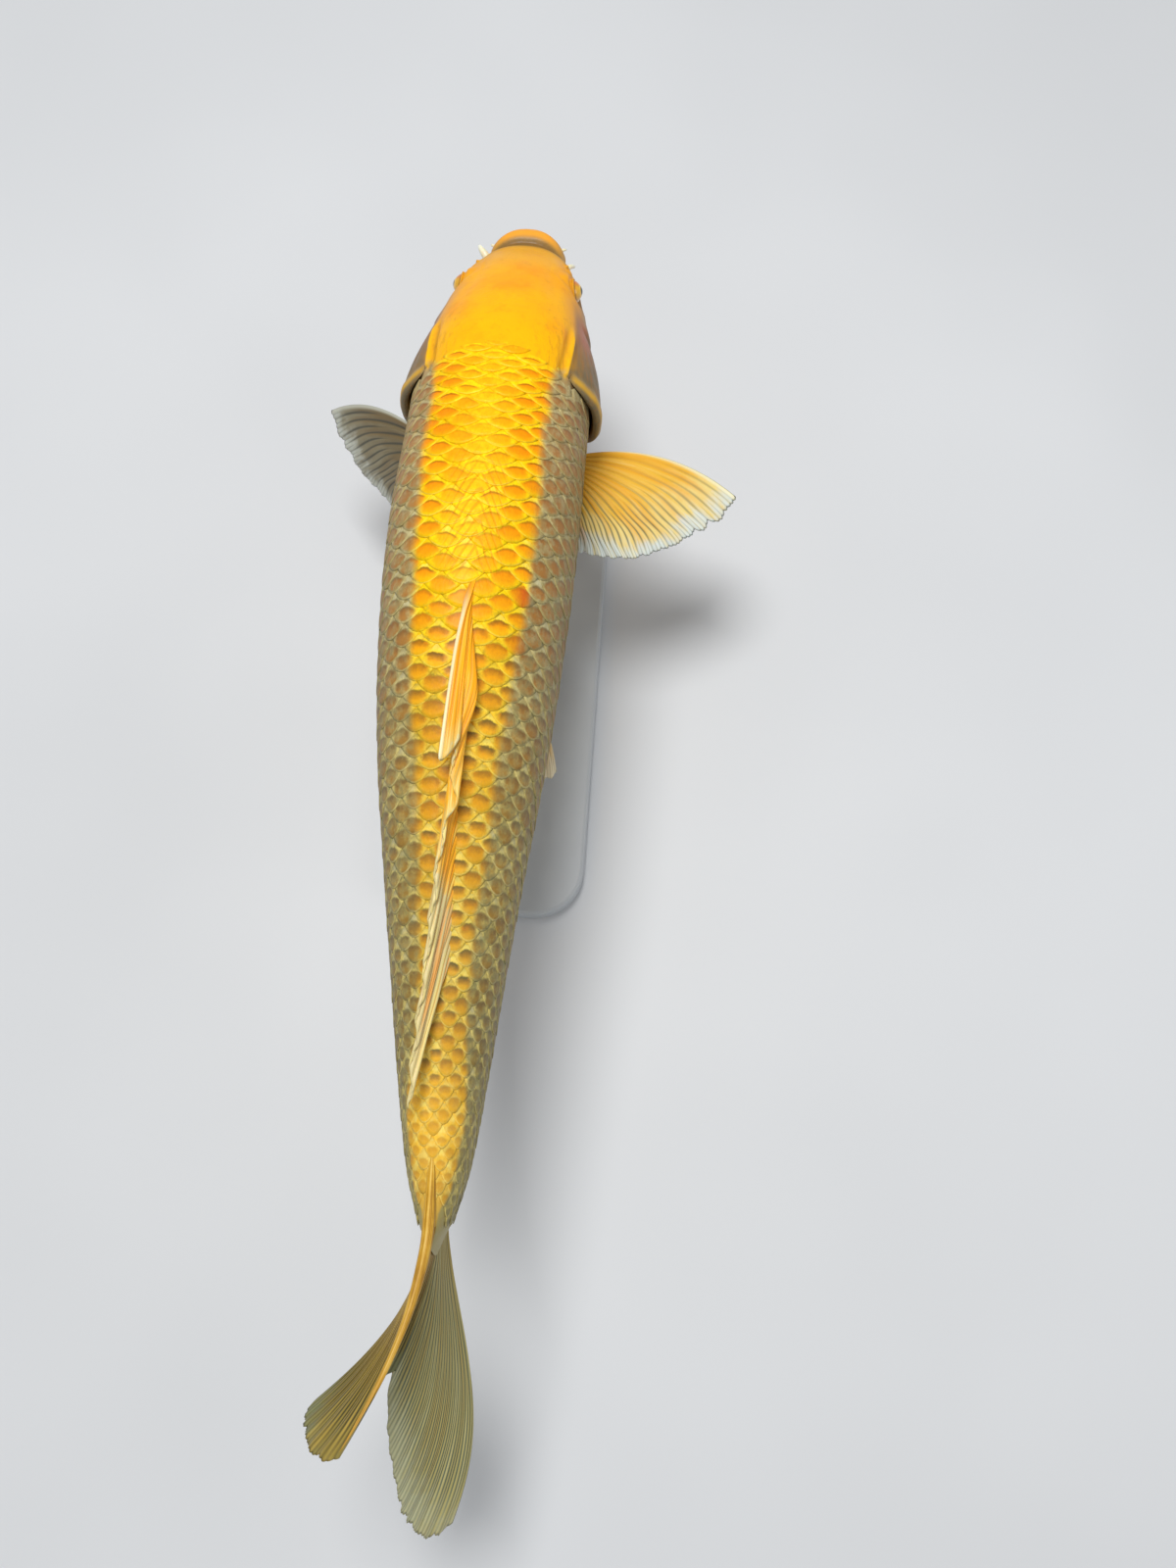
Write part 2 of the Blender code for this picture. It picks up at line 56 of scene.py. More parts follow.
# Body: distance behind the snout, half width, back above the axis, belly below it
STATIONS = np.array(
    (
        (0.0125, 0.0215, 0.0020, 0.0270),
        (0.0300, 0.0315, 0.0170, 0.0370),
        (0.0470, 0.0368, 0.0295, 0.0445),
        (0.0760, 0.0455, 0.0470, 0.0545),
        (0.1050, 0.0500, 0.0600, 0.0615),
        (0.1500, 0.0515, 0.0700, 0.0670),
        (0.2150, 0.0525, 0.0765, 0.0680),
        (0.2850, 0.0493, 0.0735, 0.0645),
        (0.3400, 0.0440, 0.0660, 0.0585),
        (0.3950, 0.0365, 0.0565, 0.0510),
        (0.4450, 0.0298, 0.0470, 0.0435),
        (0.4950, 0.0232, 0.0390, 0.0355),
        (0.5400, 0.0160, 0.0345, 0.0310),
        (0.5650, 0.0085, 0.0330, 0.0295),
    )
)
LIPS_END = STATIONS[0, 0]
LIP_REACH = 0.0050
BODY_END = STATIONS[-1, 0]
BOW = 0.0087
BOW_LENGTH = 0.550
BOW_SHIFT = 0.0075
HEAD_FULLNESS = 0.80
TRUNK_FULLNESS = 0.88
TOP_FULLNESS = 0.95
FULLNESS_CHANGE = (0.080, 0.160)
SNOUT_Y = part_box("tail_stalk")[0][1] + BODY_END
AXIS_HEIGHT = (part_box("trunk_front")[0][2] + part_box("trunk_front")[1][2]) / 2 - 0.00425

# Gill covers
GILL_FRONT = 0.080
GILL_REAR = 0.126
GILL_TOP = 48 * DEGREE
GILL_WIDEST = 90 * DEGREE
GILL_BOTTOM = 158 * DEGREE
GILL_TOP_SETBACK = 0.004
GILL_BOTTOM_SETBACK = 0.034
GILL_FLARE = 0.0080
GILL_THICKNESS = 0.0046
GILL_SLIT_DEPTH = 0.016

# Scales
SCALE_DEPTH = 0.0009  # how far the skin lies inside the scales' outline
NAPE = 0.1120  # where scales begin on the midline
ROWS_ROUND = 14.5  # from the ridge of the back to the middle of the belly
BED_FROM = 0.080
BED_TO = 0.600
LATTICE_SPAN = 128.0  # scales across the whole of the bed's UV map
GIRTH_END = 1.3  # how far the bed reaches round a side, in shares of the half girth
RED_SPOTS = ((0.258, 3), (0.279, 3), (0.370, -2))  # distance behind the snout and line of scales
STEM_BARE = 0.013  # length of bare ridge before the tail fin's leading bundle of rays


# ---------------------------------------------------------------------------- shape of the body


def smooth(low, high, value):
    share = np.clip((value - low) / (high - low), 0.0, 1.0)
    return share * share * (3 - 2 * share)


def window(rise, fall, value):
    """1 between two smooth edges, each given by where it starts and ends, and 0 outside them."""
    return smooth(*rise, value) * (1 - smooth(*fall, value))


def mix(a, b, share):
    return a + (b - a) * share


def bump(value, centre, width):
    return np.exp(-(((value - centre) / width) ** 2))


def station_curve(column, s):
    """One of the stations' sizes, on a smooth curve through them."""
    places, sizes = STATIONS[:, 0], STATIONS[:, column]
    slopes = np.empty_like(sizes)
    slopes[1:-1] = (sizes[2:] - sizes[:-2]) / (places[2:] - places[:-2])
    slopes[0] = (sizes[1] - sizes[0]) / (places[1] - places[0])
    slopes[-1] = (sizes[-1] - sizes[-2]) / (places[-1] - places[-2])
    s = np.clip(s, places[0], places[-1])
    i = np.clip(np.searchsorted(places, s, side="right") - 1, 0, len(places) - 2)
    span = places[i + 1] - places[i]
    t = (s - places[i]) / span
    return (
        (2 * t**3 - 3 * t**2 + 1) * sizes[i]
        + (t**3 - 2 * t**2 + t) * span * slopes[i]
        + (3 * t**2 - 2 * t**3) * sizes[i + 1]
        + (t**3 - t**2) * span * slopes[i + 1]
    )


def body_sizes(s):
    """Half width, back and belly. In front of the first station the body rounds off to the lips."""
    s = np.asarray(s, dtype=float)
    half_width, back, belly = (station_curve(column, s) for column in (1, 2, 3))
    front = (LIPS_END - s) / (LIPS_END + LIP_REACH)
    share = np.sqrt(np.clip(1 - np.clip(front, 0, 1) ** 2, 0, 1))
    middle, half_height = (back - belly) / 2, (back + belly) / 2 * share
    return half_width * share, middle + half_height, half_height - middle


def spine_x(s):
    return BOW_SHIFT - BOW * np.sin(math.pi * s / BOW_LENGTH)


def markings_turn(s):
    """How far the markings and the dorsal fin lie to the right of the ridge, as an angle."""
    return mix(3.6, 6.2, smooth(0.25, 0.42, s)) * window((0.14, 0.24), (0.44, 0.53), s) * DEGREE


def share_round(angle, s):
    """An angle from the ridge as the share of the way from the markings' middle to the belly."""
    turned = np.abs(angle - markings_turn(s))
    return np.minimum(turned, math.tau - turned) / math.pi


def signed_power(value, power):
    return np.sign(value) * np.abs(value) ** power


def body_point(s, angle, out=0.0):
    """Points of the body's outline, moved out from the section's centre by a given distance."""
    s, angle = np.broadcast_arrays(np.asarray(s, float), np.asarray(angle, float))
    half_width, back, belly = body_sizes(s)
    fullness = mix(HEAD_FULLNESS, TRUNK_FULLNESS, smooth(*FULLNESS_CHANGE, s))
    x = half_width * signed_power(np.sin(angle), fullness)
    z = (back + belly) / 2 * signed_power(np.cos(angle), TOP_FULLNESS)
    reach = np.maximum(np.hypot(x, z), 1e-9)
    grow = 1 + out / reach
    centre_z = AXIS_HEIGHT + (back - belly) / 2
    return np.stack((spine_x(s) + x * grow, SNOUT_Y - s, centre_z + z * grow), axis=-1)


def grid_normals(points, closed_across):
    """Outward normals of a grid of points: first index along the body, second across it."""
    along = np.gradient(points, axis=0)
    if closed_across:
        across = (np.roll(points, -1, axis=1) - np.roll(points, 1, axis=1)) / 2
    else:
        across = np.gradient(points, axis=1)
    normal = np.cross(along, across)
    length = np.linalg.norm(normal, axis=-1, keepdims=True)
    return normal / np.maximum(length, 1e-12)


# ---------------------------------------------------------------------------- small mesh tools


def mesh_object(name, verts, faces, material=None):
    mesh = bpy.data.meshes.new(name)
    mesh.from_pydata(np.asarray(verts).reshape(-1, 3).tolist(), [], faces)
    mesh.validate()
    if material:
        mesh.materials.append(material)
    return plain_object(name, mesh)


def set_attribute(obj, name, values):
    attribute = obj.data.attributes.new(name, "FLOAT", "POINT")
    attribute.data.foreach_set("value", np.asarray(values, dtype=np.float32).ravel())


def get_attribute(obj, name, width=1):
    attribute = obj.data.attributes[name]
    values = np.empty(len(attribute.data) * width, dtype=np.float32)
    attribute.data.foreach_get("value" if width == 1 else "vector", values)
    return values if width == 1 else values.reshape(-1, width)


def grid_faces(rows, columns, closed_across=False, closed_along=False):
    """Quads of a grid of rows by columns of points, numbered row by row."""
    faces = []
    for i in range(rows if closed_along else rows - 1):
        here, below = i * columns, (i + 1) % rows * columns
        for j in range(columns if closed_across else columns - 1):
            k = (j + 1) % columns
            faces.append((here + j, below + j, below + k, here + k))
    return faces


def closed_faces(rows, columns):
    """Faces of a closed tube of points, whose two end points come last."""
    faces = grid_faces(rows, columns, closed_across=True)
    start, end, last = rows * columns, rows * columns + 1, (rows - 1) * columns
    for j in range(columns):
        k = (j + 1) % columns
        faces.append((start, k, j))
        faces.append((last + j, last + k, end))
    return faces


def unit(direction):
    return direction / np.linalg.norm(direction)


def spokes(first, second, count):
    """Directions all round a circle, from the first towards the second."""
    turn = math.tau * np.arange(count)[:, None] / count
    return np.cos(turn) * first + np.sin(turn) * second


def plain_object(name, mesh):
    """Puts a mesh in the scene as an object at the origin."""
    mesh.name = name
    mesh.shade_smooth()
    obj = bpy.data.objects.new(name, mesh)
    bpy.context.scene.collection.objects.link(obj)
    return obj


def settle(piece, slot, *replaced):
    """Says what a finished piece rides on and which frame nodes it stands for; slot isn't used."""
    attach(piece, BODY)
    if replaced:
        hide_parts(*replaced)


# ---------------------------------------------------------------------------- node-tree helper


class Level:
    """A number that a node gives. Plain arithmetic on it adds the maths nodes."""

    def __init__(self, tree, socket):
        self.tree = tree
        self.socket = socket

    def __add__(self, other):
        return self.tree.math("ADD", self, other)

    def __radd__(self, other):
        return self.tree.math("ADD", other, self)

    def __sub__(self, other):
        return self.tree.math("SUBTRACT", self, other)

    def __rsub__(self, other):
        return self.tree.math("SUBTRACT", other, self)

    def __mul__(self, other):
        return self.tree.math("MULTIPLY", self, other)

    def __rmul__(self, other):
        return self.tree.math("MULTIPLY", other, self)

    def __pow__(self, other):
        return self.tree.math("POWER", self, other)

    def __abs__(self):
        return self.tree.math("ABSOLUTE", self)

    def ease(self, low, high):
        """0 below low, 1 above high, smoothly between."""
        node = self.tree.add("ShaderNodeMapRange", {"interpolation_type": "SMOOTHSTEP"})
        return self.tree.fill(node, self, low, high)

    def fade(self, low, high):
        """1 below low, 0 above high, smoothly between."""
        return 1 - self.ease(low, high)

    def window(self, rise, fall):
        """1 between two smooth edges and 0 outside them."""
        return self.ease(*rise) * self.fade(*fall)


class Tree:
    """Adds nodes to a shader or geometry tree in few words."""

    def __init__(self, tree):
        self.tree = tree

    def add(self, kind, settings=None, **inputs):
        node = self.tree.nodes.new(kind)
        for key, value in (settings or {}).items():
            setattr(node, key, value)
        self.set(node, **inputs)
        return node

    def set(self, node, **inputs):
        """Links or sets a node's inputs by name, with _ for a space."""
        for key, value in inputs.items():
            self.put(node.inputs[key.replace("_", " ")], value)

    def put(self, socket, value):
        if isinstance(value, Level):
            value = value.socket
        if isinstance(value, bpy.types.Node):
            value = value.outputs[0]
        if isinstance(value, bpy.types.NodeSocket):
            self.tree.links.new(value, socket)
        else:
            socket.default_value = value

    def fill(self, node, *values):
        """Fills a node's first inputs in order and gives its first output."""
        for socket, value in zip(node.inputs, values):
            self.put(socket, value)
        return Level(self, node.outputs[0])

    def math(self, operation, *values, clamp=False):
        node = self.add("ShaderNodeMath", {"operation": operation, "use_clamp": clamp})
        return self.fill(node, *values)

    def vector_math(self, operation, *values):
        node = self.add("ShaderNodeVectorMath", {"operation": operation})
        return self.fill(node, *values)

    def scaled(self, vector, factor):
        """A vector times a number."""
        return self.add("ShaderNodeVectorMath", {"operation": "SCALE"}, Vector=vector, Scale=factor)

    def blend(self, share, a, b, kind="MIX"):
        node = self.add("ShaderNodeMix", {"data_type": "RGBA", "blend_type": kind})
        sockets = [s for s in node.inputs if s.type == "RGBA"]
        for socket, value in zip([node.inputs[0]] + sockets, (share, a, b)):
            self.put(socket, value)
        return next(s for s in node.outputs if s.type == "RGBA")

    def layers(self, colour, *coats):
        """Lays one coat after another over a colour, each a share and its own colour."""
        for share, coat in coats:
            colour = self.blend(share, colour, coat)
        return colour

    def ramp(self, share, *stops):
        node = self.tree.nodes.new("ShaderNodeValToRGB")
        node.color_ramp.interpolation = "EASE"
        elements = node.color_ramp.elements
        while len(elements) < len(stops):
            elements.new(0.5)
        for element, (place, _) in zip(elements, stops):
            element.position = place
        for element, (_, colour) in zip(elements, stops):
            element.color = colour
        self.put(node.inputs[0], share)
        return node.outputs[0]

    def curve(self, share, *stops):
        """A ramp whose stops are a place and a plain number."""
        return self.ramp(share, *((place, (number, number, number, 1)) for place, number in stops))

    def shades(self, share, *stops):
        """A ramp whose stops are a place and a colour in display values."""
        return self.ramp(share, *((place, paint(*colour)) for place, *colour in stops))

    def attribute(self, name):
        node = self.add("ShaderNodeAttribute", {"attribute_name": name})
        return Level(self, node.outputs["Fac"])

    def noise(self, vector, scale, detail=3.0, roughness=0.5):
        node = self.add("ShaderNodeTexNoise", Vector=vector, Scale=scale, Detail=detail)
        self.set(node, Roughness=roughness)
        return Level(self, node.outputs["Fac"])

    def vector(self, x, y, z=0.0):
        return self.add("ShaderNodeCombineXYZ", X=x, Y=y, Z=z)

    def bump(self, height, strength, distance):
        return self.add("ShaderNodeBump", Height=height, Strength=strength, Distance=distance)

    def named(self, name, kind="FLOAT"):
        """Reads a named attribute in a geometry tree."""
        node = self.add("GeometryNodeInputNamedAttribute", {"data_type": kind}, Name=name)
        return Level(self, next(s for s in node.outputs if s.enabled and s.name == "Attribute"))

    def keep(self, geometry, name, value, kind="FLOAT"):
        """Stores a named attribute on a geometry's points."""
        node = self.add("GeometryNodeStoreNamedAttribute", {"data_type": kind, "domain": "POINT"})
        self.set(node, Geometry=geometry, Name=name, Value=value)
        return node


def geometry_group(name, geometry, *sockets):
    """A geometry tree with named inputs. Returns the group, a tree on it and its inputs."""
    group = bpy.data.node_groups.new(name, "GeometryNodeTree")
    face = group.interface
    face.new_socket("Geometry", in_out="OUTPUT", socket_type="NodeSocketGeometry")
    face.new_socket(geometry, in_out="INPUT", socket_type="NodeSocketGeometry")
    for label, kind, value in sockets:
        socket = face.new_socket(label, in_out="INPUT", socket_type="NodeSocket" + kind)
        if value is not None:
            socket.default_value = value
    return group, Tree(group), group.nodes.new("NodeGroupInput").outputs


def end_group(group, tree, geometry, material):
    """Realizes the instances, sets the material and leads the result out."""
    real = tree.add("GeometryNodeRealizeInstances", Geometry=geometry)
    finished = tree.add("GeometryNodeSetMaterial", Geometry=real, Material=material)
    tree.put(group.nodes.new("NodeGroupOutput").inputs[0], finished)
    return group


def paint(red, green, blue):
    """A colour given as display values from 0 to 255, as linear light."""
    def linear(value):
        value /= 255
        return value / 12.92 if value <= 0.04045 else ((value + 0.055) / 1.055) ** 2.4

    return (linear(red), linear(green), linear(blue), 1.0)


def new_material(name):
    material = bpy.data.materials.new(name)
    material.use_nodes = True
    tree = Tree(material.node_tree)
    shader = material.node_tree.nodes["Principled BSDF"]
    return material, tree, shader


def place_of(tree):
    return tree.add("ShaderNodeTexCoord").outputs["Object"]


# ---------------------------------------------------------------------------- fish materials


def regions(tree):
    """Where things are on the fish, shared by skin and scales.

    Reads two attributes: along, 0 at the snout and 1 at the tail, and around, 0 on the ridge of
    the back and 1 under the belly. flank is 1 beside the gold band of the back, low 1 under the
    belly, and drift and wander are slow and quick irregularity round 0.
    """
    along, around = tree.attribute("along"), tree.attribute("around")
    place = place_of(tree)
    drift = tree.noise(place, 26.0, 2.0) - 0.5
    wander = tree.noise(place, 90.0, 3.0) - 0.5
    band_edge = tree.curve(
        along,
        (0.00, 0.50), (0.185, 0.36), (0.225, 0.190), (0.36, 0.176), (0.50, 0.165),
        (0.64, 0.130), (0.80, 0.115), (0.92, 0.220), (0.965, 0.200), (1.00, 0.070),
    )
    flank = (around - band_edge + drift * 0.05 + wander * 0.04).ease(-0.018, 0.030)
    low = (around + drift * 0.08).ease(0.62, 0.86)
    return place, along, around, drift, wander, flank, low


def net_colour(tree, along, flank, low):
    """The paler colour between the scales' pads and of bare skin."""
    back = tree.shades(
        along,
        (0.00, 234, 164, 32), (0.10, 250, 168, 0), (0.17, 250, 178, 0), (0.26, 251, 190, 0),
        (0.46, 246, 198, 4), (0.62, 228, 186, 50), (0.80, 214, 178, 66), (0.92, 236, 184, 56),
        (1.00, 204, 164, 70),
    )
    side = tree.shades(
        along,
        (0.00, 205, 160, 92), (0.14, 182, 146, 94), (0.22, 174, 148, 94), (0.45, 166, 148, 93),
        (0.70, 168, 154, 96), (0.90, 160, 148, 96), (1.00, 160, 146, 86),
    )
    return tree.layers(back, (flank, side), (low, paint(216, 186, 128)))


def pad_colours(tree, along, flank, low):
    """A scale pad's deeper colour and its front edge's dusky colour, of pigment and painted shadow."""
    pad_back = tree.shades(
        along,
        (0.15, 250, 156, 0), (0.26, 250, 153, 0), (0.46, 244, 162, 6), (0.62, 224, 158, 28),
        (0.80, 204, 150, 42), (0.92, 224, 162, 40), (1.00, 206, 154, 48),
    )
    pad_side = tree.shades(
        along,
        (0.14, 180, 128, 72), (0.26, 174, 120, 62), (0.45, 172, 120, 56), (0.70, 158, 122, 54),
        (0.90, 140, 116, 60), (1.00, 110, 108, 72),
    )
    dusk_back = tree.shades(
        along,
        (0.16, 166, 84, 4), (0.30, 146, 76, 4), (0.46, 126, 82, 18), (0.60, 108, 90, 40),
        (0.86, 96, 90, 54), (0.94, 150, 118, 46),
    )
    dusk_side = tree.shades(
        along, (0.16, 122, 82, 46), (0.45, 108, 86, 50), (0.70, 100, 90, 60), (1.00, 92, 96, 72)
    )
    pad = tree.layers(pad_back, (flank, pad_side), (low * 0.9, paint(204, 168, 106)))
    shade = tree.layers(dusk_back, (flank, dusk_side), (low * 0.9, paint(186, 150, 96)))
    return pad, shade


def skin_material():
    """Bare skin of the head, lips and gill covers, and of the body under the scales."""
    material, tree, shader = new_material("wet_golden_skin")
    place, along, around, drift, wander, flank, low = regions(tree)
    head = along.fade(0.17, 0.24)
    top = (1 - flank) * head
    mottle = tree.noise(place, 34.0, 4.0, 0.6).ease(0.46, 0.66) * top
    sunlit = tree.noise(place, 23.0, 4.0, 0.6).ease(0.50, 0.64) * top
    freckle = tree.noise(place, 150.0, 4.0, 0.7)
    # the snout and the head's sides are duskier than its top, and the cheeks duskier still
    sides = (around + drift * 0.08).ease(0.17, 0.36) * head
    snout = (along + drift * 0.03).fade(0.030, 0.090)
    cheek = (around + wander * 0.10).ease(0.30, 0.42) * head * along.ease(0.030, 0.060) * (1 - low)
    cover = along.window((0.100, 0.150), (0.26, 0.30)) * around.ease(0.262, 0.310) * (1 - low)
    clouds = tree.noise(place, 75.0, 4.0, 0.65).ease(0.44, 0.62) * cover
    # fine wrinkles that run back over the nape and the gill covers
    wrinkle = tree.noise(tree.vector_math("MULTIPLY", place, (1.0, 0.22, 1.0)), 420.0, 3.0, 0.6)
    nape = along.window((0.120, 0.175), (0.22, 0.26)) * around.ease(0.06, 0.16)
    grain = tree.noise(place, 260.0, 3.0, 0.6)
    lip_colour = tree.blend(around.ease(0.14, 0.42), paint(246, 164, 56), paint(188, 148, 84))
    dusky = tree.attribute("dusky") * (0.65 + freckle * 0.5)
    colour = tree.layers(
        net_colour(tree, along, flank, low),
        (mottle * 0.50, paint(246, 150, 4)),
        (sunlit * 0.45, paint(254, 188, 0)),
        (freckle.ease(0.52, 0.72) * head * 0.30, paint(226, 138, 14)),
        (sides * 0.80, paint(214, 148, 48)),
        (snout * 0.55, paint(232, 168, 48)),
        (cheek * 0.70, paint(148, 118, 82)),
        (cover * 0.85, paint(104, 96, 74)),
        (clouds * 0.50, paint(150, 120, 70)),
        (wrinkle.ease(0.50, 0.66) * nape * 0.30, paint(176, 108, 26)),
        (grain.ease(0.52, 0.78) * 0.13, paint(160, 98, 22)),
        (tree.attribute("blush") * 0.68, paint(192, 112, 92)),
        # painted highlight along the gill covers' ridge and rim, and faintly on the eyelids
        (tree.attribute("ridge") * 0.85, paint(252, 190, 18)),
        (tree.attribute("lip") * 0.75, lip_colour),
        (dusky, paint(134, 108, 64)),
        # painted shade in the head's creases, pits and slits, and inside the gill slits
        (tree.attribute("hollow_shade"), paint(108, 76, 42)),
    )
    pores = Level(tree, tree.add("ShaderNodeTexVoronoi", Vector=place, Scale=520.0).outputs["Distance"])
    height = grain * 0.7 + pores * 0.3 + (freckle * 0.8 + wrinkle * nape * 1.6)
    tree.set(
        shader,
        Base_Color=colour,
        Roughness=0.36 + tree.noise(place, 120.0, 2.0) * 0.16,
        Specular_IOR_Level=0.14,
        Coat_Weight=0.06,
        Coat_Roughness=0.16,
        Subsurface_Weight=0.06,
        Subsurface_Radius=(1.0, 0.45, 0.20),
        Subsurface_Scale=0.003,
        Normal=tree.bump(height, 0.28, 0.0007),
    )
    return material


def scale_material():
    """A scale's own pattern: a rounded pad in a paler net, with a dusky front edge.

    pad_along runs from -0.5 at the front of the exposed part to 0.5 at its free edge, pad_across
    from -1 towards the ridge of the back to 1 towards the belly.
    """
    material, tree, shader = new_material("golden_scale")
    place, along, around, _, wander, flank, low = regions(tree)
    net = net_colour(tree, along, flank, low)
    pad, shade = pad_colours(tree, along, flank, low)
    reach, across = tree.attribute("pad_along"), tree.attribute("pad_across")
    tone, show = tree.attribute("tone"), tree.attribute("pad_show")
    side = abs(across)
    inner = tree.math("MAXIMUM", across * -1.0, 0.0)
    outer = tree.math("MAXIMUM", across, 0.0)
    nape = along.fade(0.20, 0.30)
    rear_body = along.ease(0.43, 0.56)
    stalk = along.ease(0.84, 0.93)
    upper = 1 - low
    # the pad's outline, in shares of a scale's exposed length
    fuzz = tree.noise(place, 420.0, 3.0, 0.7) - 0.5
    patch = tree.noise(place, 150.0, 3.0, 0.6) - 0.5
    free_edge = 0.5 - side**1.9 * 0.5
    margin = 0.110 + rear_body * -0.060 + tone * 0.030 + patch * 0.14 + fuzz * 0.03
    rear = free_edge - margin - reach
    front_edge = (
        -0.25 + nape * 0.18 + rear_body * 0.06 + inner**1.4 * (1 - rear_body) * 0.50
        + outer * outer * 0.22 + inner * inner * rear_body * 0.30 + stalk * 0.16
        + (tone - 0.5) * 0.14
    )
    front = reach + wander * 0.30 + fuzz * 0.16 - front_edge
    widen = (tone - 0.5) * 0.12 + fuzz * 0.18 + wander * 0.20
    inside = rear.ease(-0.060, 0.070) * front.ease(-0.030, 0.070) * show
    inside = inside * (outer + widen).fade(0.40, 0.72)
    inside = inside * (inner + rear_body * 0.08 + widen).fade(0.50, 0.82)
    # on the flanks the pads come and go
    inside = inside * (1 - flank * (patch + fuzz * 0.10).ease(-0.12, 0.16) * 0.70)
    # dusky front part, partly dark pigment and partly painted shadow of the scale in front: a thin
    # edge towards the head, a broad band towards the tail
    front_pigment_and_shadow = 1 - tree.math("DIVIDE", front, 0.130 + rear_body * 0.24 + fuzz * 0.20, clamp=True)
    front_pigment_and_shadow = front_pigment_and_shadow * front.ease(-0.07, 0.020) * rear.ease(0.0, 0.10)
    front_pigment_and_shadow = front_pigment_and_shadow * (side + fuzz * 0.5 + patch * 0.5).fade(0.25, 0.75) * (1 - stalk * 0.70)
    front_pigment_and_shadow = front_pigment_and_shadow * (0.45 + tone * 0.55) * (0.35 + show * 0.65) * (1 - flank * 0.25) * 1.05
    # the net: soft bright swellings over a deeper yellow, mottled towards the tail; the swellings'
    # glints are a painted highlight
    glint_highlight = (tree.noise(place, 240.0, 3.0, 0.65) + reach * -0.16).ease(0.38, 0.66)
    glint_colour = tree.blend(flank, paint(255, 226, 14), paint(206, 196, 146))
    glint_colour = tree.blend(along.ease(0.44, 0.70), glint_colour, paint(228, 206, 112))
    murk = (patch + fuzz * 0.6).ease(0.02, 0.22) * upper
    murk = murk * (0.10 + along.ease(0.36, 0.50) * 0.55) * (1 - stalk * 0.6)
    olive = tree.blend(flank, paint(176, 150, 36), paint(122, 124, 84))
    tip = reach.fade(-0.36, -0.10) * side.fade(0.10, 0.46)
    tip = tip * along.ease(0.30, 0.46) * tone.ease(0.35, 0.85) * upper
    pale = tree.blend(flank, paint(250, 234, 120), paint(206, 200, 160))
    # folds of skin closing in on the front of the dorsal fin, with painted shade in their creases
    slant = along * 420.0 + around * -310.0 + wander * 3.0
    crease = tree.math("SINE", slant).ease(0.35, 0.95) * around.fade(0.045, 0.105)
    crease = crease * along.window((0.31, 0.36), (0.430, 0.470))
    net = tree.layers(
        net,
        # painted highlight: bright glints on the net's swellings
        (glint_highlight * 0.60 * upper, glint_colour),
        (murk, olive),
        (tip * 0.70 * (0.6 + fuzz), pale),
        # painted shade: a deeper orange in the folds' creases
        (crease * 0.55, paint(240, 140, 4)),
    )
    # the pad: deepest near its front, with embers, and sunny towards its free edge
    deep = tree.blend(flank, paint(242, 134, 0), paint(152, 98, 48))
    deep = tree.blend(rear_body * 0.6, deep, shade)
    heart = (front + fuzz * 0.3).fade(0.02, 0.42) * upper
    ember = patch.ease(0.04, 0.20) * tone.ease(0.3, 0.9) * upper
    ember_colour = tree.blend(flank, paint(238, 132, 8), paint(176, 108, 52))
    sunny = rear.ease(0.30, 0.0) * (1 - flank) * upper
    pad = tree.layers(pad, (heart * 0.50, deep), (ember * 0.45, ember_colour), (sunny * 0.45, net))
    # towards the tail the covered front of the exposed part is dusky too, partly pigment and partly
    # painted shadow of the scale in front
    base = reach.fade(-0.46, -0.20) * rear_body * 0.40 * (1 - stalk * 0.5)
    # a thin pale rim along the free edge
    edge = 1 - abs(free_edge - reach + -0.045).ease(0.010, 0.050)
    edge = edge * side.fade(0.60, 0.90) * (tone + fuzz).ease(0.1, 0.6)
    rim = tree.shades(along, (0.18, 255, 226, 70), (0.50, 252, 224, 96), (0.85, 240, 216, 124))
    rim = tree.blend(flank * 0.85, rim, paint(212, 196, 138))
    colour = tree.layers(
        net, (inside * (1 - stalk * 0.35), pad), (front_pigment_and_shadow, shade), (base, shade), (edge * 0.45, rim)
    )
    # scale-to-scale difference, a few red spots, painted shade that darkens the flanks as they turn
    # down from the back, and fine growth lines
    lift = 0.90 + tone * 0.16 + fuzz * 0.20
    tint = tree.add("ShaderNodeCombineColor", Red=lift, Green=lift, Blue=lift)
    streaks = tree.noise(tree.vector(across * 16.0, reach * 5.0, tone * 40.0), 1.0, 2.0, 0.6)
    colour = tree.layers(
        tree.blend(1.0, colour, tint, "MULTIPLY"),
        (tree.attribute("spot") * 0.70, paint(206, 74, 26)),
        # painted shade: the flanks darken as they turn down from the back
        (around.ease(0.24, 0.42) * upper * 0.26, paint(92, 88, 76)),
        (streaks.ease(0.45, 0.8) * 0.16, shade),
    )
    height = 1 - inside * 0.22 + streaks * 0.30 + glint_highlight * 0.35 + fuzz - crease * 0.5
    tree.set(
        shader,
        Base_Color=colour,
        Roughness=0.54 - inside * 0.06,
        Specular_IOR_Level=0.12,
        Coat_Weight=0.04,
        Coat_Roughness=0.16,
        Normal=tree.bump(height, 0.50, 0.0006),
    )
    return material


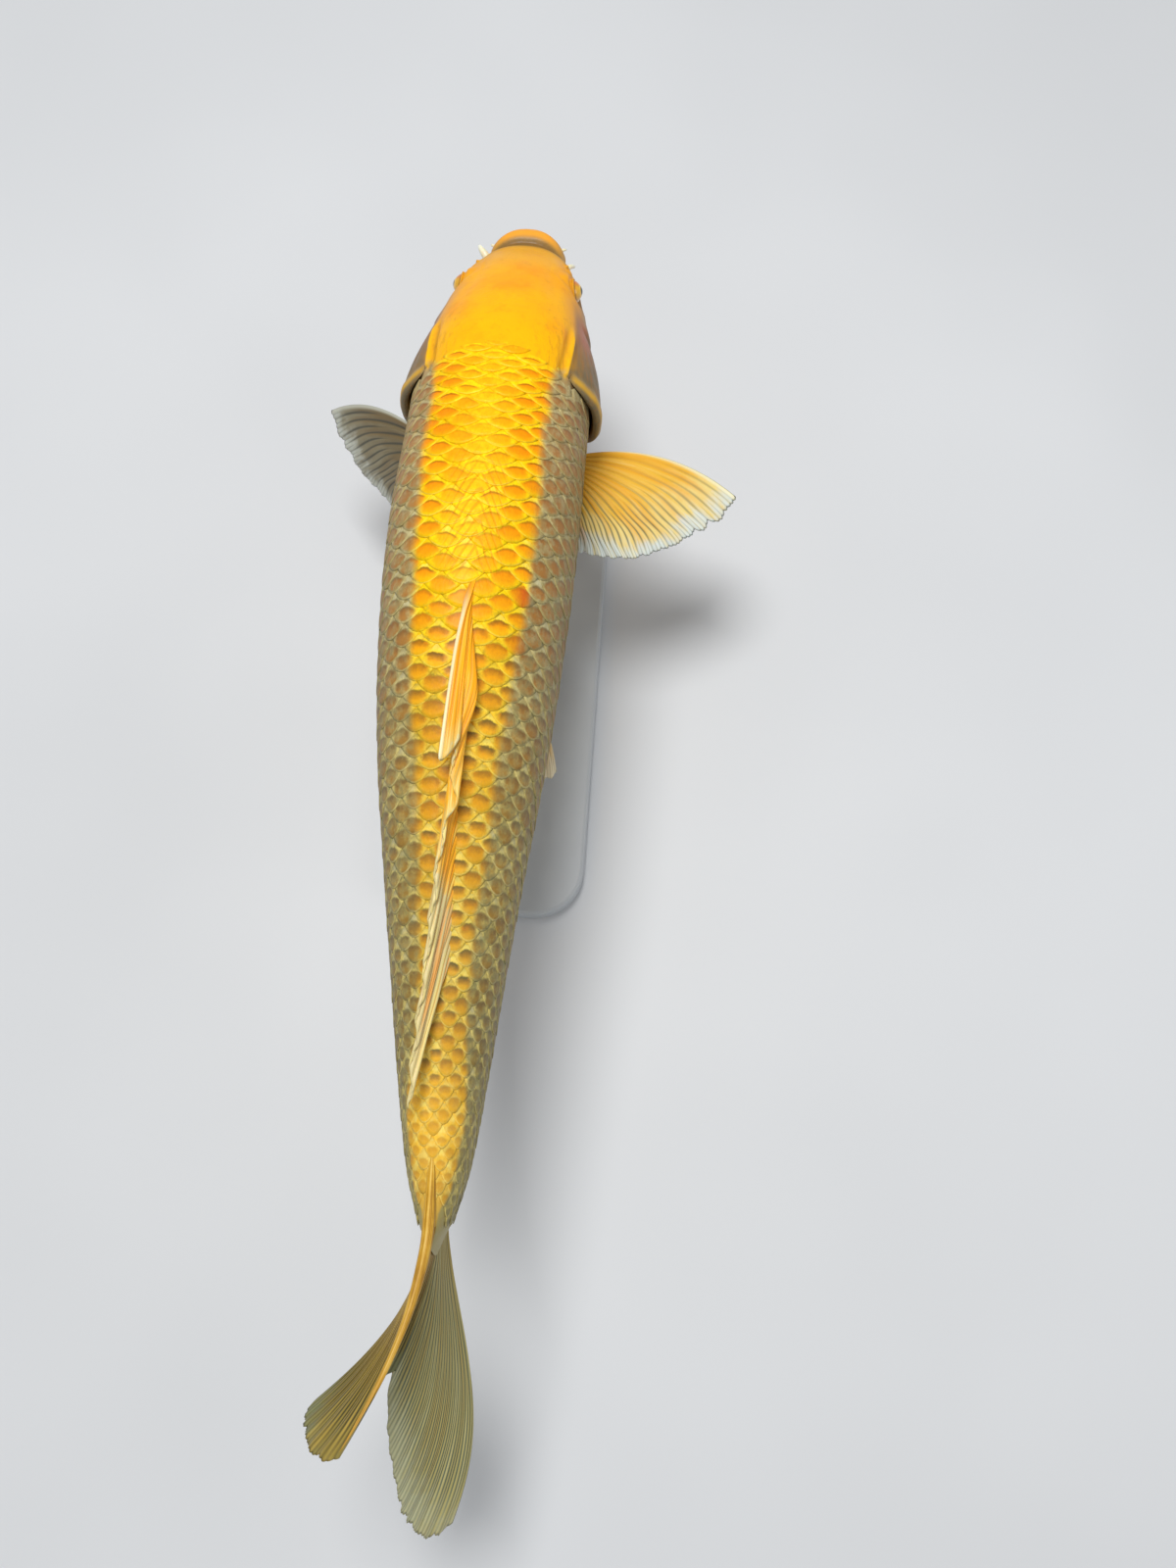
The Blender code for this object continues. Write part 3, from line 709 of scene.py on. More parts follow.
def fin_material(name, stops, furrow, warm, cream, edge=None, fade=0.0, contrast=0.8,
                 stripe=0.5, ray=(0.10, 0.66), calm=0.0, soft_edge=0.6):
    """Rays and membrane: colour runs from the root to the edge, furrows are darker than rays.

    fade makes the rays towards the fin's far side paler, stripe sets how much rays differ, ray is
    where on a crest the membrane gives way to the ray, and calm quietens the furrows near the root.
    """
    material, tree, shader = new_material(name)
    along, across = tree.attribute("ray_along"), tree.attribute("ray_across")
    crest = tree.attribute("ray_crest")
    rays = across * tree.attribute("ray_count")
    lines = tree.noise(tree.vector(rays * 2.6, along * 2.4), 1.0, 3.0, 0.65)
    bands = tree.noise(tree.vector(rays * 0.85, along * 0.8, 4.0), 1.0, 2.0, 0.5)
    cloud = tree.noise(place_of(tree), 70.0, 3.0, 0.6)
    drift = (lines - 0.5) * 0.34 + (cloud - 0.5) * 0.30 + across.ease(0.35, 1.0) * fade
    dark = bands.fade(0.36, 0.52) * along.fade(0.70, 0.98)
    light = (bands * 0.6 + lines * 0.4).ease(0.50, 0.66)
    quiet = (along * 0.75 + across * 0.75).fade(0.35, 0.95) * calm
    deep = crest.fade(*ray) * (1 - along.ease(0.80, 1.0) * soft_edge) * (1 - quiet)
    colour = tree.layers(
        tree.shades(along + drift, *stops),
        (dark * stripe, paint(*warm)),
        (light * stripe, paint(*cream)),
        (deep * contrast, paint(*furrow)),
    )
    if edge:
        first = across.fade(0.004, 0.022) * along.ease(0.08, 0.30)
        colour = tree.blend(first * 0.8, colour, paint(*edge))
    joints = tree.math("SINE", along * 230.0).ease(0.60, 1.0) * crest.ease(0.4, 0.9)
    tree.set(
        shader,
        Base_Color=colour,
        Roughness=0.40 + lines * 0.12,
        Specular_IOR_Level=0.30,
        Coat_Weight=0.10,
        Coat_Roughness=0.20,
        Subsurface_Weight=0.08,
        Subsurface_Radius=(1.0, 0.6, 0.3),
        Subsurface_Scale=0.0015,
        Normal=tree.bump(lines * 0.6 + joints * 0.12, 0.30, 0.0004),
    )
    return material


# ---------------------------------------------------------------------------- skin

SKIN_COLUMNS = 320
COLUMN_CROWDING = 0.30  # columns stand closer on the flanks, where the mouth and eyes are
NOSE_RINGS = 33
HEAD_RUNS = ((LIPS_END, 0.020, 14), (0.020, 0.060, 80), (0.060, GILL_FRONT, 20))
COVER_RINGS = 40
FOLD_RINGS = 12
FIRST_FOLD = NOSE_RINGS + sum(count for _, _, count in HEAD_RUNS) + COVER_RINGS
RING_STEP = 0.0006  # between the rings of the fold where there is no gill slit
SLIT_FLOOR = 0.0012  # how far the skin behind a gill slit is sunk
BEHIND_RINGS = 14
REAR_RINGS = 62
FOLD_REAR = 0.165  # where the rings behind a gill slit are evenly spaced again
STALK_CAP = 0.0170  # how far the flesh runs on into the root of the tail fin
MOUTH_DROP = 0.0125
MOUTH_SLOPE = math.tan(14 * DEGREE)
EYE_APERTURE = 0.0063
EYE_LID = 0.0007
EYE_MOUND = 0.0026  # how far the head swells round an eye
ORBIT_FURROW = 0.0007
CORNEA_RISE = 0.0007


def gill_edge(from_back):
    """Where a gill cover ends, behind the snout."""
    upper = np.clip((GILL_WIDEST - from_back) / (GILL_WIDEST - GILL_TOP), 0, 1)
    lower = np.clip((from_back - GILL_WIDEST) / (GILL_BOTTOM - GILL_WIDEST), 0, 1)
    return GILL_REAR - GILL_TOP_SETBACK * upper**2 - GILL_BOTTOM_SETBACK * lower**1.6


def gill_window(from_back):
    return window((GILL_TOP, 80 * DEGREE), (115 * DEGREE, GILL_BOTTOM), from_back)


def gill_flare(s, from_back):
    share = np.clip((s - GILL_FRONT) / (GILL_REAR - GILL_FRONT), 0, 1)
    curl = 1 - 0.16 * smooth(-0.007, 0.001, s - gill_edge(from_back))
    return GILL_FLARE * share * gill_window(from_back) * curl


def skin_rings(from_back):
    """Each ring's distance behind the snout and height over the body, column by column.

    Behind a gill cover's edge the rings turn in under it, run forward along its inner side, drop
    to the body and come back out, which makes the gill slit.
    """
    one = np.ones_like(from_back)
    rings = []

    def run(start, end, count, lift):
        for k in range(count):
            s = mix(start, end, k / count)
            rings.append((s * one, lift(s * one)))

    def flat(s):
        return 0.0 * s

    for k in range(1, NOSE_RINGS + 1):
        s = LIPS_END - (LIPS_END + LIP_REACH) * math.cos(0.5 * math.pi * k / (NOSE_RINGS + 1))
        rings.append((s * one, 0.0 * one))
    for start, end, count in HEAD_RUNS:
        run(start, end, count, flat)
    edge = gill_edge(from_back)
    run(GILL_FRONT, edge, COVER_RINGS, lambda s: gill_flare(s, from_back))

    fold_top = (GILL_TOP - 2 * DEGREE, GILL_TOP + 9 * DEGREE)
    fold = window(fold_top, (128 * DEGREE, GILL_BOTTOM + 4 * DEGREE), from_back)
    top = gill_flare(edge, from_back)
    # each fold ring's place along the slit, as a share of its depth, and how far it is sunk into
    # the cover, as a share of the cover's thickness, or None on the body
    inner = (
        (0.03, 0.04),
        (0.10, 0.24),
        (0.11, 0.56),
        (0.04, 0.88),
        (-0.12, 1.00),
        (-0.40, 1.00),
        (-0.70, 1.00),
        (-0.95, 1.15),
        (-1.00, None),
        (-0.80, None),
        (-0.45, None),
        (-0.10, None),
    )
    thickness = np.minimum(GILL_THICKNESS, 0.0008 + 0.7 * top)
    for k, (share, sunk) in enumerate(inner):
        s = edge + share * GILL_SLIT_DEPTH
        if sunk is None:
            lift = -SLIT_FLOOR * one
        else:
            lift = gill_flare(np.minimum(s, edge), from_back) - thickness * sunk
        plain = edge + RING_STEP * k
        rings.append((mix(plain, s, fold), mix(0.0 * one, lift, fold)))
    after = mix(edge + RING_STEP * FOLD_RINGS, edge + 0.001, fold)
    for k in range(1, BEHIND_RINGS + 1):
        s = mix(after, FOLD_REAR * one, k / BEHIND_RINGS)
        rings.append((s, -SLIT_FLOOR * fold * (1 - smooth(0, 4, k))))
    run(FOLD_REAR + 0.006, BODY_END, REAR_RINGS, flat)
    places, lifts = zip(*rings)
    return np.array(places), np.array(lifts)


def lattice_of(points):
    """Local places on the head: across from the spine, above the axis, behind the snout."""
    s = SNOUT_Y - points[..., 1]
    return points[..., 0] - spine_x(s), points[..., 2] - AXIS_HEIGHT, s


def eye_frame(side):
    """Centre, outward axis and radius of an eye."""
    low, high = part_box("eye_left" if side < 0 else "eye_right")
    centre = np.array([(a + b) / 2 for a, b in zip(low, high)])
    outward = unit(np.array((side * 0.975, 0.11, 0.15)))
    return centre - outward * 0.0016, outward, (high[2] - low[2]) / 2 - 0.0004


def seat_eyes(points):
    """Raises a rim of skin round each eye and sinks the skin behind it."""
    for side in (-1, 1):
        centre, outward, radius = eye_frame(side)
        away = points - centre
        depth = away @ outward
        ring = np.linalg.norm(away - depth[..., None] * outward, axis=-1)
        mound = EYE_MOUND * bump(ring, 0, 0.0135) * (depth > -radius)
        points = points + mound[..., None] * outward
        depth = (points - centre) @ outward
        ball = np.sqrt(np.maximum(radius**2 - np.minimum(ring, radius * 0.98) ** 2, 0))
        lid = ball + 0.0002 + 0.0005 * bump(ring, EYE_APERTURE + 0.0006, 0.0008)
        inside = ball - 0.0030
        target = mix(inside, lid, smooth(EYE_APERTURE - 0.0004, EYE_APERTURE + 0.0002, ring))
        near = (1 - smooth(0.0074, 0.0128, ring)) * (depth > -radius)
        orbit = ORBIT_FURROW * bump(ring, 0.0118, 0.0016) * (depth > -radius)
        moved = mix(depth, target, near) - orbit
        points = points + (moved - depth)[..., None] * outward
    return points


def lid_ring(side):
    """The soft edge of skin that lies on the eyeball."""
    centre, outward, radius = eye_frame(side)
    first = unit(np.cross(outward, (0, 0, 1.0)))
    second = np.cross(outward, first)
    turns, sides = 72, 10
    height = math.sqrt(radius**2 - EYE_APERTURE**2)
    around = math.tau * np.arange(sides) / sides
    out = EYE_APERTURE + 0.0004 + EYE_LID * np.cos(around)
    up = height - 0.0004 + EYE_LID * 0.8 * np.sin(around)
    verts = centre + spokes(first, second, turns)[:, None] * out[:, None] + outward * up[:, None]
    return verts.reshape(-1, 3), grid_faces(turns, sides, closed_across=True, closed_along=True)


def crease_place(from_back):
    """Where the crease behind the lips runs."""
    upper = 0.0086 + 0.0080 * np.sin(np.minimum(from_back, 100 * DEGREE)) ** 2
    lower = 0.0085 + 0.0073 * np.sin(np.clip(from_back, 80 * DEGREE, math.pi)) ** 2
    return np.where(from_back < 98 * DEGREE, upper, lower)


# Swellings and furrows of the head: height, then centre and spread behind the snout and in degrees
# from the ridge
HEAD_SWELLINGS = (
    (0.0008, 0.0291, 0.0007, 53, 3.2),  # flap of the front nostril
    (-0.0006, 0.060, 0.022, 30, 6),  # furrow beside the middle
    (0.0010, 0.047, 0.009, 50, 9),  # over the eye
    (0.0005, 0.082, 0.018, 0, 14),  # nape
)
# Nostrils: distance behind the snout, degrees from the ridge, radius and depth
NOSTRILS = ((0.0272, 52, 0.0009, 0.0016), (0.0312, 54, 0.0014, 0.0024))


def head_details(points, s, from_back):
    """Lips, mouth, nostrils, cheek and gill-cover relief. Returns the lift and the painted masks."""
    across, above, behind = lattice_of(points)
    degrees = from_back / DEGREE
    past_cover = s - gill_edge(from_back)
    crease = crease_place(from_back)
    upper_side = 1 - smooth(92, 104, degrees)
    # lips: two rounded bands with a crease behind them
    fullness = mix(0.0012, mix(0.0025, 0.0014, smooth(20, 75, degrees)), upper_side)
    lift = fullness * bump(s, crease - mix(0.0046, 0.0064, upper_side), 0.0050)
    lift -= mix(0.0010, 0.0013, upper_side) * bump(s, crease + 0.0010, 0.0019)
    lift += 0.0008 * bump(s, crease + 0.0060, 0.0030) * upper_side
    # painted shade in the crease behind the lips
    hollow_shade = 0.55 * bump(s, crease + 0.0012, 0.0017) * mix(0.6, 1.0, upper_side)
    lip = bump(s, crease - 0.0060, 0.0050) * (1 - smooth(0.014, 0.019, s))
    dusky = bump(s, crease + 0.0030, 0.0042) * upper_side + 0.60 * bump(s, crease - 0.0010, 0.0016)
    # the mouth itself, with a fold running back from each corner
    slit = above + MOUTH_DROP + MOUTH_SLOPE * np.maximum(behind, 0) + 0.0010
    slit = slit - 0.0014 * bump(across, 0.0, 0.010)
    open_here = 1 - smooth(0.0125, 0.0160, behind)
    corner = bump(behind, 0.0172, 0.0042) * bump(slit, -0.0006, 0.0012)
    lift -= 0.0032 * bump(slit, 0, 0.0007) * open_here + 0.0012 * corner
    lift += 0.0005 * bump(np.abs(slit), 0.0028, 0.0018) * open_here
    # painted shade in the mouth's slit and at its corners
    hollow_shade += bump(slit, 0, 0.0008) * open_here + 0.35 * corner
    for place, angle, radius, depth in NOSTRILS:
        half_width = body_sizes(place)[0]
        away = np.hypot(s - place, (degrees - angle) * DEGREE * half_width * 1.05)
        pit = bump(away, 0, radius)
        lift += 0.0007 * bump(away, radius * 2.0, radius * 0.8) - depth * pit
        # painted shade in the nostril pits
        hollow_shade += 0.95 * pit**2
    for height, place, length, angle, breadth in HEAD_SWELLINGS:
        lift += height * bump(s, place, length) * bump(degrees, angle, breadth)
    # cheek: a groove under the eye, the cheek plate and the edge in front of the gill cover
    under_eye = 0.060 + 0.010 * (from_back - 90 * DEGREE)
    lift += 0.0006 * bump(s, under_eye, 0.006) * bump(degrees, 92, 10)
    lift -= 0.0006 * bump(degrees, 104, 4) * window((0.026, 0.034), (0.058, 0.070), s)
    plate = 0.0745 - 0.010 * smooth(100, 140, degrees) + 0.004 * bump(degrees, 75, 18)
    plate_here = window((58, 70), (138, 152), degrees)
    lift += 0.0009 * plate_here * window((-0.018, -0.002), (-0.0022, 0.0002), s - plate)
    lift -= 0.0006 * plate_here * bump(s, plate + 0.0006, 0.0011)
    # painted shade along the cheek plate's edge
    hollow_shade += 0.22 * plate_here * bump(s, plate + 0.0004, 0.0012)
    # gill cover: ribs that fan out from its upper front corner, a seam low down and a soft rim
    cover = smooth(GILL_FRONT, GILL_FRONT + 0.006, s) * (1 - smooth(0.0, 0.0005, past_cover))
    cover = cover * smooth(GILL_TOP, GILL_TOP + 8 * DEGREE, from_back)
    down, back = (from_back - 58 * DEGREE) * 0.05, s - 0.076
    ribs = np.sin(30 * np.arctan2(down, back)) * smooth(0.006, 0.018, np.hypot(down, back))
    seam = degrees - (128 - 480 * (s - 0.10))
    rim = 0.0007 * bump(past_cover, -0.0025, 0.0026) - 0.0005 * bump(past_cover, -0.0075, 0.0020)
    lift += cover * (rim + 0.00016 * ribs - 0.0005 * bump(seam, 0, 2.2))
    # painted shade in the gill cover's seam
    hollow_shade += 0.12 * bump(seam, 0, 2.4) * cover
    # the ridge along the cover's upper edge, with a furrow above and below it: the ridge and the
    # cover's rim get a painted highlight and the furrows painted shade
    below_ridge = degrees - (47 - 110 * (s - 0.10))
    run = smooth(0.084, 0.100, s) * (1 - smooth(0.001, 0.005, past_cover))
    ridge = bump(below_ridge, 0, 1.7) * run
    furrows = 0.0012 * bump(below_ridge, -4.6, 2.2) + 0.0008 * bump(below_ridge, 5.5, 3.0)
    lift += 0.0021 * ridge - furrows * run
    hollow_shade += (0.42 * bump(below_ridge, -4.2, 1.5) + 0.18 * bump(below_ridge, 4.6, 2.4)) * run
    rim_light = 0.62 * bump(past_cover, -0.0016, 0.0030) * cover * (1 - smooth(78, 112, degrees))
    ridge = np.clip(ridge + rim_light, 0, 1)
    return lift, np.clip(hollow_shade, 0, 1), np.clip(lip, 0, 1), ridge, np.clip(dusky, 0, 1)


def make_skin():
    turn = np.arange(SKIN_COLUMNS) * math.tau / SKIN_COLUMNS
    angle = turn + COLUMN_CROWDING / 2 * np.sin(2 * turn)
    from_back = np.minimum(angle, math.tau - angle)
    s, out = skin_rings(from_back)
    rings = len(s)
    angle_grid = np.broadcast_to(angle, s.shape)
    back_grid = np.broadcast_to(from_back, s.shape)
    inset = mix(0.0003, SCALE_DEPTH, smooth(0.100, 0.128, s))
    points = body_point(s, angle_grid, out - inset)
    index = np.arange(rings)[:, None]
    # painted shade: the slit's inner side is painted dark
    deep = window((2, 6), (FOLD_RINGS - 1, FOLD_RINGS + 3), index - FIRST_FOLD)
    fold_top = (GILL_TOP + 1 * DEGREE, GILL_TOP + 9 * DEGREE)
    dark = deep * window(fold_top, (135 * DEGREE, GILL_BOTTOM), back_grid)
    lift, hollow_shade, lip, ridge, dusky = head_details(points, s, back_grid)
    in_fold = (index > FIRST_FOLD + 1) & (index <= FIRST_FOLD + FOLD_RINGS)
    lift = np.where(in_fold, 0.0, lift)
    points = seat_eyes(points + grid_normals(points, True) * lift[..., None])
    # rounded end inside the root of the tail fin
    cap = []
    for k in range(1, 9):
        share = k / 9
        narrow, low = mix(1.0, 0.14, share**0.75), mix(1.0, 0.84, share**2)
        ring = body_point(BODY_END, angle, -SCALE_DEPTH)
        centre = ring.mean(axis=0)
        ring = centre + (ring - centre) * np.array((narrow, 1, low))
        ring[:, 1] -= STALK_CAP * share * mix(0.60, 1.0, np.sin(angle) ** 2)
        cap.append(ring)
    points = np.concatenate((points, np.array(cap)))
    nose_tip = np.array((spine_x(0), points[0, :, 1].max(), points[0, :, 2].mean()))
    verts = np.concatenate((points.reshape(-1, 3), (nose_tip, points[-1].mean(axis=0))))
    faces = closed_faces(len(points), SKIN_COLUMNS)
    body_count = len(verts)
    for side in (-1, 1):
        ring_verts, ring_faces = lid_ring(side)
        faces += [tuple(v + len(verts) for v in face) for face in ring_faces]
        verts = np.concatenate((verts, ring_verts))
    skin = mesh_object("koi_skin", verts, faces, SKIN)
    blush = 0.9 * bump(s, 0.083, 0.010) * bump(angle_grid, 64 * DEGREE, 8 * DEGREE)
    blush += 0.45 * bump(s, 0.086, 0.016) * bump(back_grid, 64 * DEGREE, 16 * DEGREE)
    blush += 0.5 * bump(s, -0.001, 0.004) * bump(angle_grid, 55 * DEGREE, 16 * DEGREE)
    for name, values, at_tail, on_lids in (
        ("along", s / BODY_END, 1.0, 0.083),
        ("around", share_round(angle_grid, s), 0.0, 0.20),
        # painted shade in the head's creases, pits and slits, and inside the gill slits
        ("hollow_shade", np.maximum(hollow_shade, dark), 0.0, 0.0),
        ("lip", lip, 0.0, 0.0),
        # painted highlight along the gill covers' ridge and rim, and faintly on the eyelids
        ("ridge", ridge, 0.0, 0.25),
        ("dusky", dusky, 0.0, 0.35),
        ("blush", np.clip(blush, 0, 1), 0.0, 0.0),
    ):
        ends = (values[0].mean(), at_tail)
        lids = np.full(len(verts) - body_count, on_lids)
        rows = (values.ravel(), np.tile(values[-1], len(cap)), ends, lids)
        set_attribute(skin, name, np.concatenate(rows))
    settle(
        skin, "scaled_skin", "head", "upper_lip", "lower_lip", "gill_cover_left",
        "gill_cover_right", "trunk_front", "trunk_rear", "tail_stalk",
    )


# ---------------------------------------------------------------------------- scales


def pitch_at(s):
    """Length of a scale's exposed part."""
    return np.interp(
        s,
        (0.090, 0.110, 0.150, 0.200, 0.260, 0.400, 0.470, 0.560),
        (0.0084, 0.0086, 0.0098, 0.0115, 0.0124, 0.0124, 0.0116, 0.0104),
    )


FINE_S = np.linspace(BED_FROM, BED_TO, 800)
ROW_OF_S = np.concatenate(
    ((0.0,), np.cumsum(np.diff(FINE_S) / pitch_at((FINE_S[1:] + FINE_S[:-1]) / 2)))
)


def s_of_row(row):
    return np.interp(row, ROW_OF_S, FINE_S)


def row_of_s(s):
    return np.interp(s, FINE_S, ROW_OF_S)


def girth_share(line):
    """Share of the half girth between the ridge and a line of scales: narrower near the ridge."""
    share = np.abs(line) / ROWS_ROUND
    return np.sign(line) * (share - 0.075 * np.sin(math.pi * share))


def angle_of_share(s, share):
    """Turns a share of the half girth, from -1.3 to 1.3, into an angle round the section."""
    angles = np.linspace(0, math.pi, 241)
    ring = body_point(s, angles)
    steps = np.linalg.norm(np.diff(ring, axis=0), axis=1)
    run = np.concatenate(((0.0,), np.cumsum(steps)))
    run /= run[-1]
    share = np.asarray(share)
    wrapped = np.abs(share)
    inside = np.interp(np.minimum(wrapped, 2 - wrapped), run, angles)
    return np.sign(share) * np.where(wrapped <= 1, inside, math.tau - inside)


def make_scale_bed():
    """A plain sheet over the body that carries the scales' lattice as its UV map."""
    rows = np.linspace(0, ROW_OF_S[-1], 230)
    lines = np.linspace(-ROWS_ROUND * 1.12, ROWS_ROUND * 1.12, 161)
    share = girth_share(lines)
    points = np.empty((len(rows), len(lines), 3))
    for i, row in enumerate(rows):
        s = float(s_of_row(row))
        shown = min(s, BODY_END)
        ring = body_point(shown, angle_of_share(shown, share), -SCALE_DEPTH)
        if s > BODY_END:
            centre = ring.mean(axis=0)
            beyond = min(1.0, (s - BODY_END) / STALK_CAP)
            shrink = np.array((mix(1.0, 0.25, beyond), 1, mix(1, 0.95, beyond)))
            ring = centre + (ring - centre) * shrink
            ring[:, 1] -= s - BODY_END
        points[i] = ring
    bed = mesh_object("scale_bed", points, grid_faces(len(rows), len(lines)))
    uv = bed.data.uv_layers.new(name="lattice")
    vertex = np.empty(len(bed.data.loops), dtype=np.int32)
    bed.data.loops.foreach_get("vertex_index", vertex)
    i, j = np.divmod(vertex, len(lines))
    flat = np.stack((rows[i], lines[j]), axis=-1) / LATTICE_SPAN + 0.5
    uv.data.foreach_set("uv", flat.astype(np.float32).ravel())
    return bed


PLATE_THICKNESS = 0.00030
PLATE_OVERLAP = 0.42  # how far a scale runs on under the ones before it, in exposed lengths


def make_scale_plate():
    """One scale, in lattice units across and along and metres in height.

    Its exposed part runs from -0.5 to 0.5 along. The front lies under the scales before it.
    """
    rows, columns = 7, 8
    across, share = np.meshgrid(np.linspace(-1, 1, columns), np.linspace(0, 1, rows) ** 0.85)
    front = -0.50 - PLATE_OVERLAP * np.sqrt(1 - across**2)
    rear = 0.5 * (1 - np.abs(across) ** 1.9)
    # it rises towards the free edge, falls off to the sides and has a faint dip on its pad
    dip = bump(share, 0.80, 0.16) * bump(across, 0, 0.50)
    z = -0.00035 + 0.00100 * share - 0.00032 * across**2 + 0.00004 * (1 - dip)
    z -= 0.00020 * smooth(0.84, 1.0, share)
    top = np.stack((mix(front, rear, share), across * 0.985, z), axis=-1)
    rim = [(0, j) for j in range(columns)]
    rim += [(i, columns - 1) for i in range(1, rows)]
    rim += [(rows - 1, j) for j in range(columns - 2, -1, -1)]
    rim += [(i, 0) for i in range(rows - 2, 0, -1)]
    verts = list(top.reshape(-1, 3))
    faces = [tuple(reversed(face)) for face in grid_faces(rows, columns)]
    plate_across = list(across.ravel())
    plate_along = list(share.ravel())
    # the wall: a second rim below the first one
    below = {}
    for i, j in rim:
        below[(i, j)] = len(verts)
        verts.append(top[i, j] - np.array((0, 0, PLATE_THICKNESS)))
        plate_across.append(across[i, j])
        plate_along.append(share[i, j])
    for (i, j), (p, q) in zip(rim, rim[1:] + rim[:1]):
        faces.append((i * columns + j, p * columns + q, below[(p, q)], below[(i, j)]))
    # the underside: strips from side to side between the lower rim's points
    for i in range(rows - 1):
        left, right = (i, 0), (i, columns - 1)
        next_left, next_right = (i + 1, 0), (i + 1, columns - 1)
        if i == 0:
            first = [below[(0, j)] for j in range(columns)]
            faces.append(tuple(first + [below[next_right], below[next_left]]))
        elif i == rows - 2:
            final = [below[(rows - 1, j)] for j in range(columns - 1, -1, -1)]
            faces.append(tuple([below[left], below[right]] + final))
        else:
            faces.append((below[left], below[right], below[next_right], below[next_left]))
    plate = mesh_object("scale_plate", np.array(verts), faces)
    fix_outward(plate)
    set_attribute(plate, "plate_across", plate_across)
    set_attribute(plate, "plate_along", plate_along)
    return plate


def scale_front(from_back):
    """How far behind the snout the scales begin, at an angle from the ridge."""
    nape = NAPE + 0.016 * smooth(0, 44 * DEGREE, from_back) ** 1.3
    open_slit = window((54, 72), (118, 140), from_back / DEGREE)
    behind_cover = gill_edge(from_back) + mix(0.0060, -0.0050, open_slit)
    return np.where(from_back < GILL_TOP, nape, np.maximum(behind_cover, 0.098))


def scale_rear(from_back):
    """Where the scales end at an angle from the ridge: the ridge is bare where the stem begins."""
    return BODY_END - 0.001 - STEM_BARE * (1 - float(smooth(12 * DEGREE, 60 * DEGREE, from_back)))


def make_scale_seeds(side):
    """One loose point for each scale of a side, placed in the flat lattice."""
    last_row = int(row_of_s(BODY_END + 0.002))
    seeds = []
    # the line along the ridge belongs to the right side
    for line in range(0 if side > 0 else 1, int(ROWS_ROUND) + 1):
        for step in range(last_row + 1):
            row = step + 0.5 * (line % 2)
            s = float(s_of_row(row))
            angle = abs(float(angle_of_share(min(s, BODY_END), girth_share(line))))
            if scale_front(np.array(angle)) <= s <= scale_rear(angle):
                seeds.append((row, side * line, 0.0))
    return mesh_object("scale_seeds", np.array(seeds), [])


def scale_tree():
    """Sets a plate on every seed in the flat lattice, then wraps the result over the body."""
    group, tree, given = geometry_group(
        "lay_scales",
        "Seeds",
        ("Plate", "Object", None),
        ("Bed", "Object", None),
        ("Finish", "Material", None),
        ("Size Change", "Float", 0.05),
        ("Turn Change", "Float", 0.03),
        ("Tilt Change", "Float", 0.00012),
        ("Seed", "Int", 3),
    )
    plate, bed = (
        tree.add("GeometryNodeObjectInfo", Object=given[name]).outputs["Geometry"]
        for name in ("Plate", "Bed")
    )
    where = tree.add("GeometryNodeInputPosition")
    normal = tree.add("GeometryNodeInputNormal")

    def random(low, high, offset):
        """A number for each seed point, drawn from the group's own seed."""
        seed = tree.math("ADD", given["Seed"], offset)
        node = tree.add("FunctionNodeRandomValue", {"data_type": "FLOAT"}, Seed=seed)
        floats = [s for s in node.inputs if s.type == "VALUE"]
        tree.put(floats[0], low)
        tree.put(floats[1], high)
        return Level(tree, next(s for s in node.outputs if s.type == "VALUE"))

    seeds = tree.keep(given["Seeds"], "root", where, "FLOAT_VECTOR")
    seeds = tree.keep(seeds, "tone", random(0.0, 1.0, 11))
    seeds = tree.keep(seeds, "rise", random(-1.0, 1.0, 23))
    turn = random(-1.0, 1.0, 31) * given["Turn Change"]
    grow = 1.0 + random(-1.0, 1.0, 47) * given["Size Change"]
    laid = tree.add(
        "GeometryNodeInstanceOnPoints",
        Points=tree.add("GeometryNodeMeshToPoints", Mesh=seeds),
        Instance=plate,
        Rotation=tree.vector(0.0, 0.0, turn),
        Scale=tree.vector(grow, grow, 1.0),
    )
    flat = tree.add("GeometryNodeRealizeInstances", Geometry=laid)
    flat = tree.keep(flat, "flat", where, "FLOAT_VECTOR")

    lattice = tree.named("lattice", "FLOAT_VECTOR")
    shrink = (1 / LATTICE_SPAN, 1 / LATTICE_SPAN, 0.0)
    place = tree.vector_math("MULTIPLY_ADD", where, shrink, (0.5, 0.5, 0.0))

    def on_bed(value):
        """Reads a value of the bed where a point of the lattice lies on it."""
        node = tree.add("GeometryNodeSampleUVSurface", {"data_type": "FLOAT_VECTOR"})
        tree.set(node, Mesh=bed, Value=value, Sample_UV=place)
        tree.put(next(s for s in node.inputs if s.name in ("UV Map", "Source UV Map")), lattice)
        return node.outputs["Value"]

    height = Level(tree, tree.add("ShaderNodeSeparateXYZ", Vector=where).outputs["Z"])
    height = height + tree.named("plate_along") * tree.named("rise") * given["Tilt Change"]
    target = tree.vector_math("ADD", on_bed(where), tree.scaled(on_bed(normal), height))
    wrapped = tree.add("GeometryNodeSetPosition", Geometry=flat, Position=target)
    return end_group(group, tree, wrapped, given["Finish"])


def run_tree(obj, group, **values):
    """Runs a geometry tree on an object and returns the result as a plain mesh."""
    modifier = obj.modifiers.new("nodes", "NODES")
    modifier.node_group = group
    for item in group.interface.items_tree:
        key = item.name.replace(" ", "_")
        if item.item_type == "SOCKET" and item.in_out == "INPUT" and key in values:
            modifier[item.identifier] = values[key]
    obj.update_tag()
    bpy.context.view_layer.update()
    evaluated = obj.evaluated_get(bpy.context.evaluated_depsgraph_get())
    mesh = bpy.data.meshes.new_from_object(evaluated)
    obj.modifiers.remove(modifier)
    return mesh


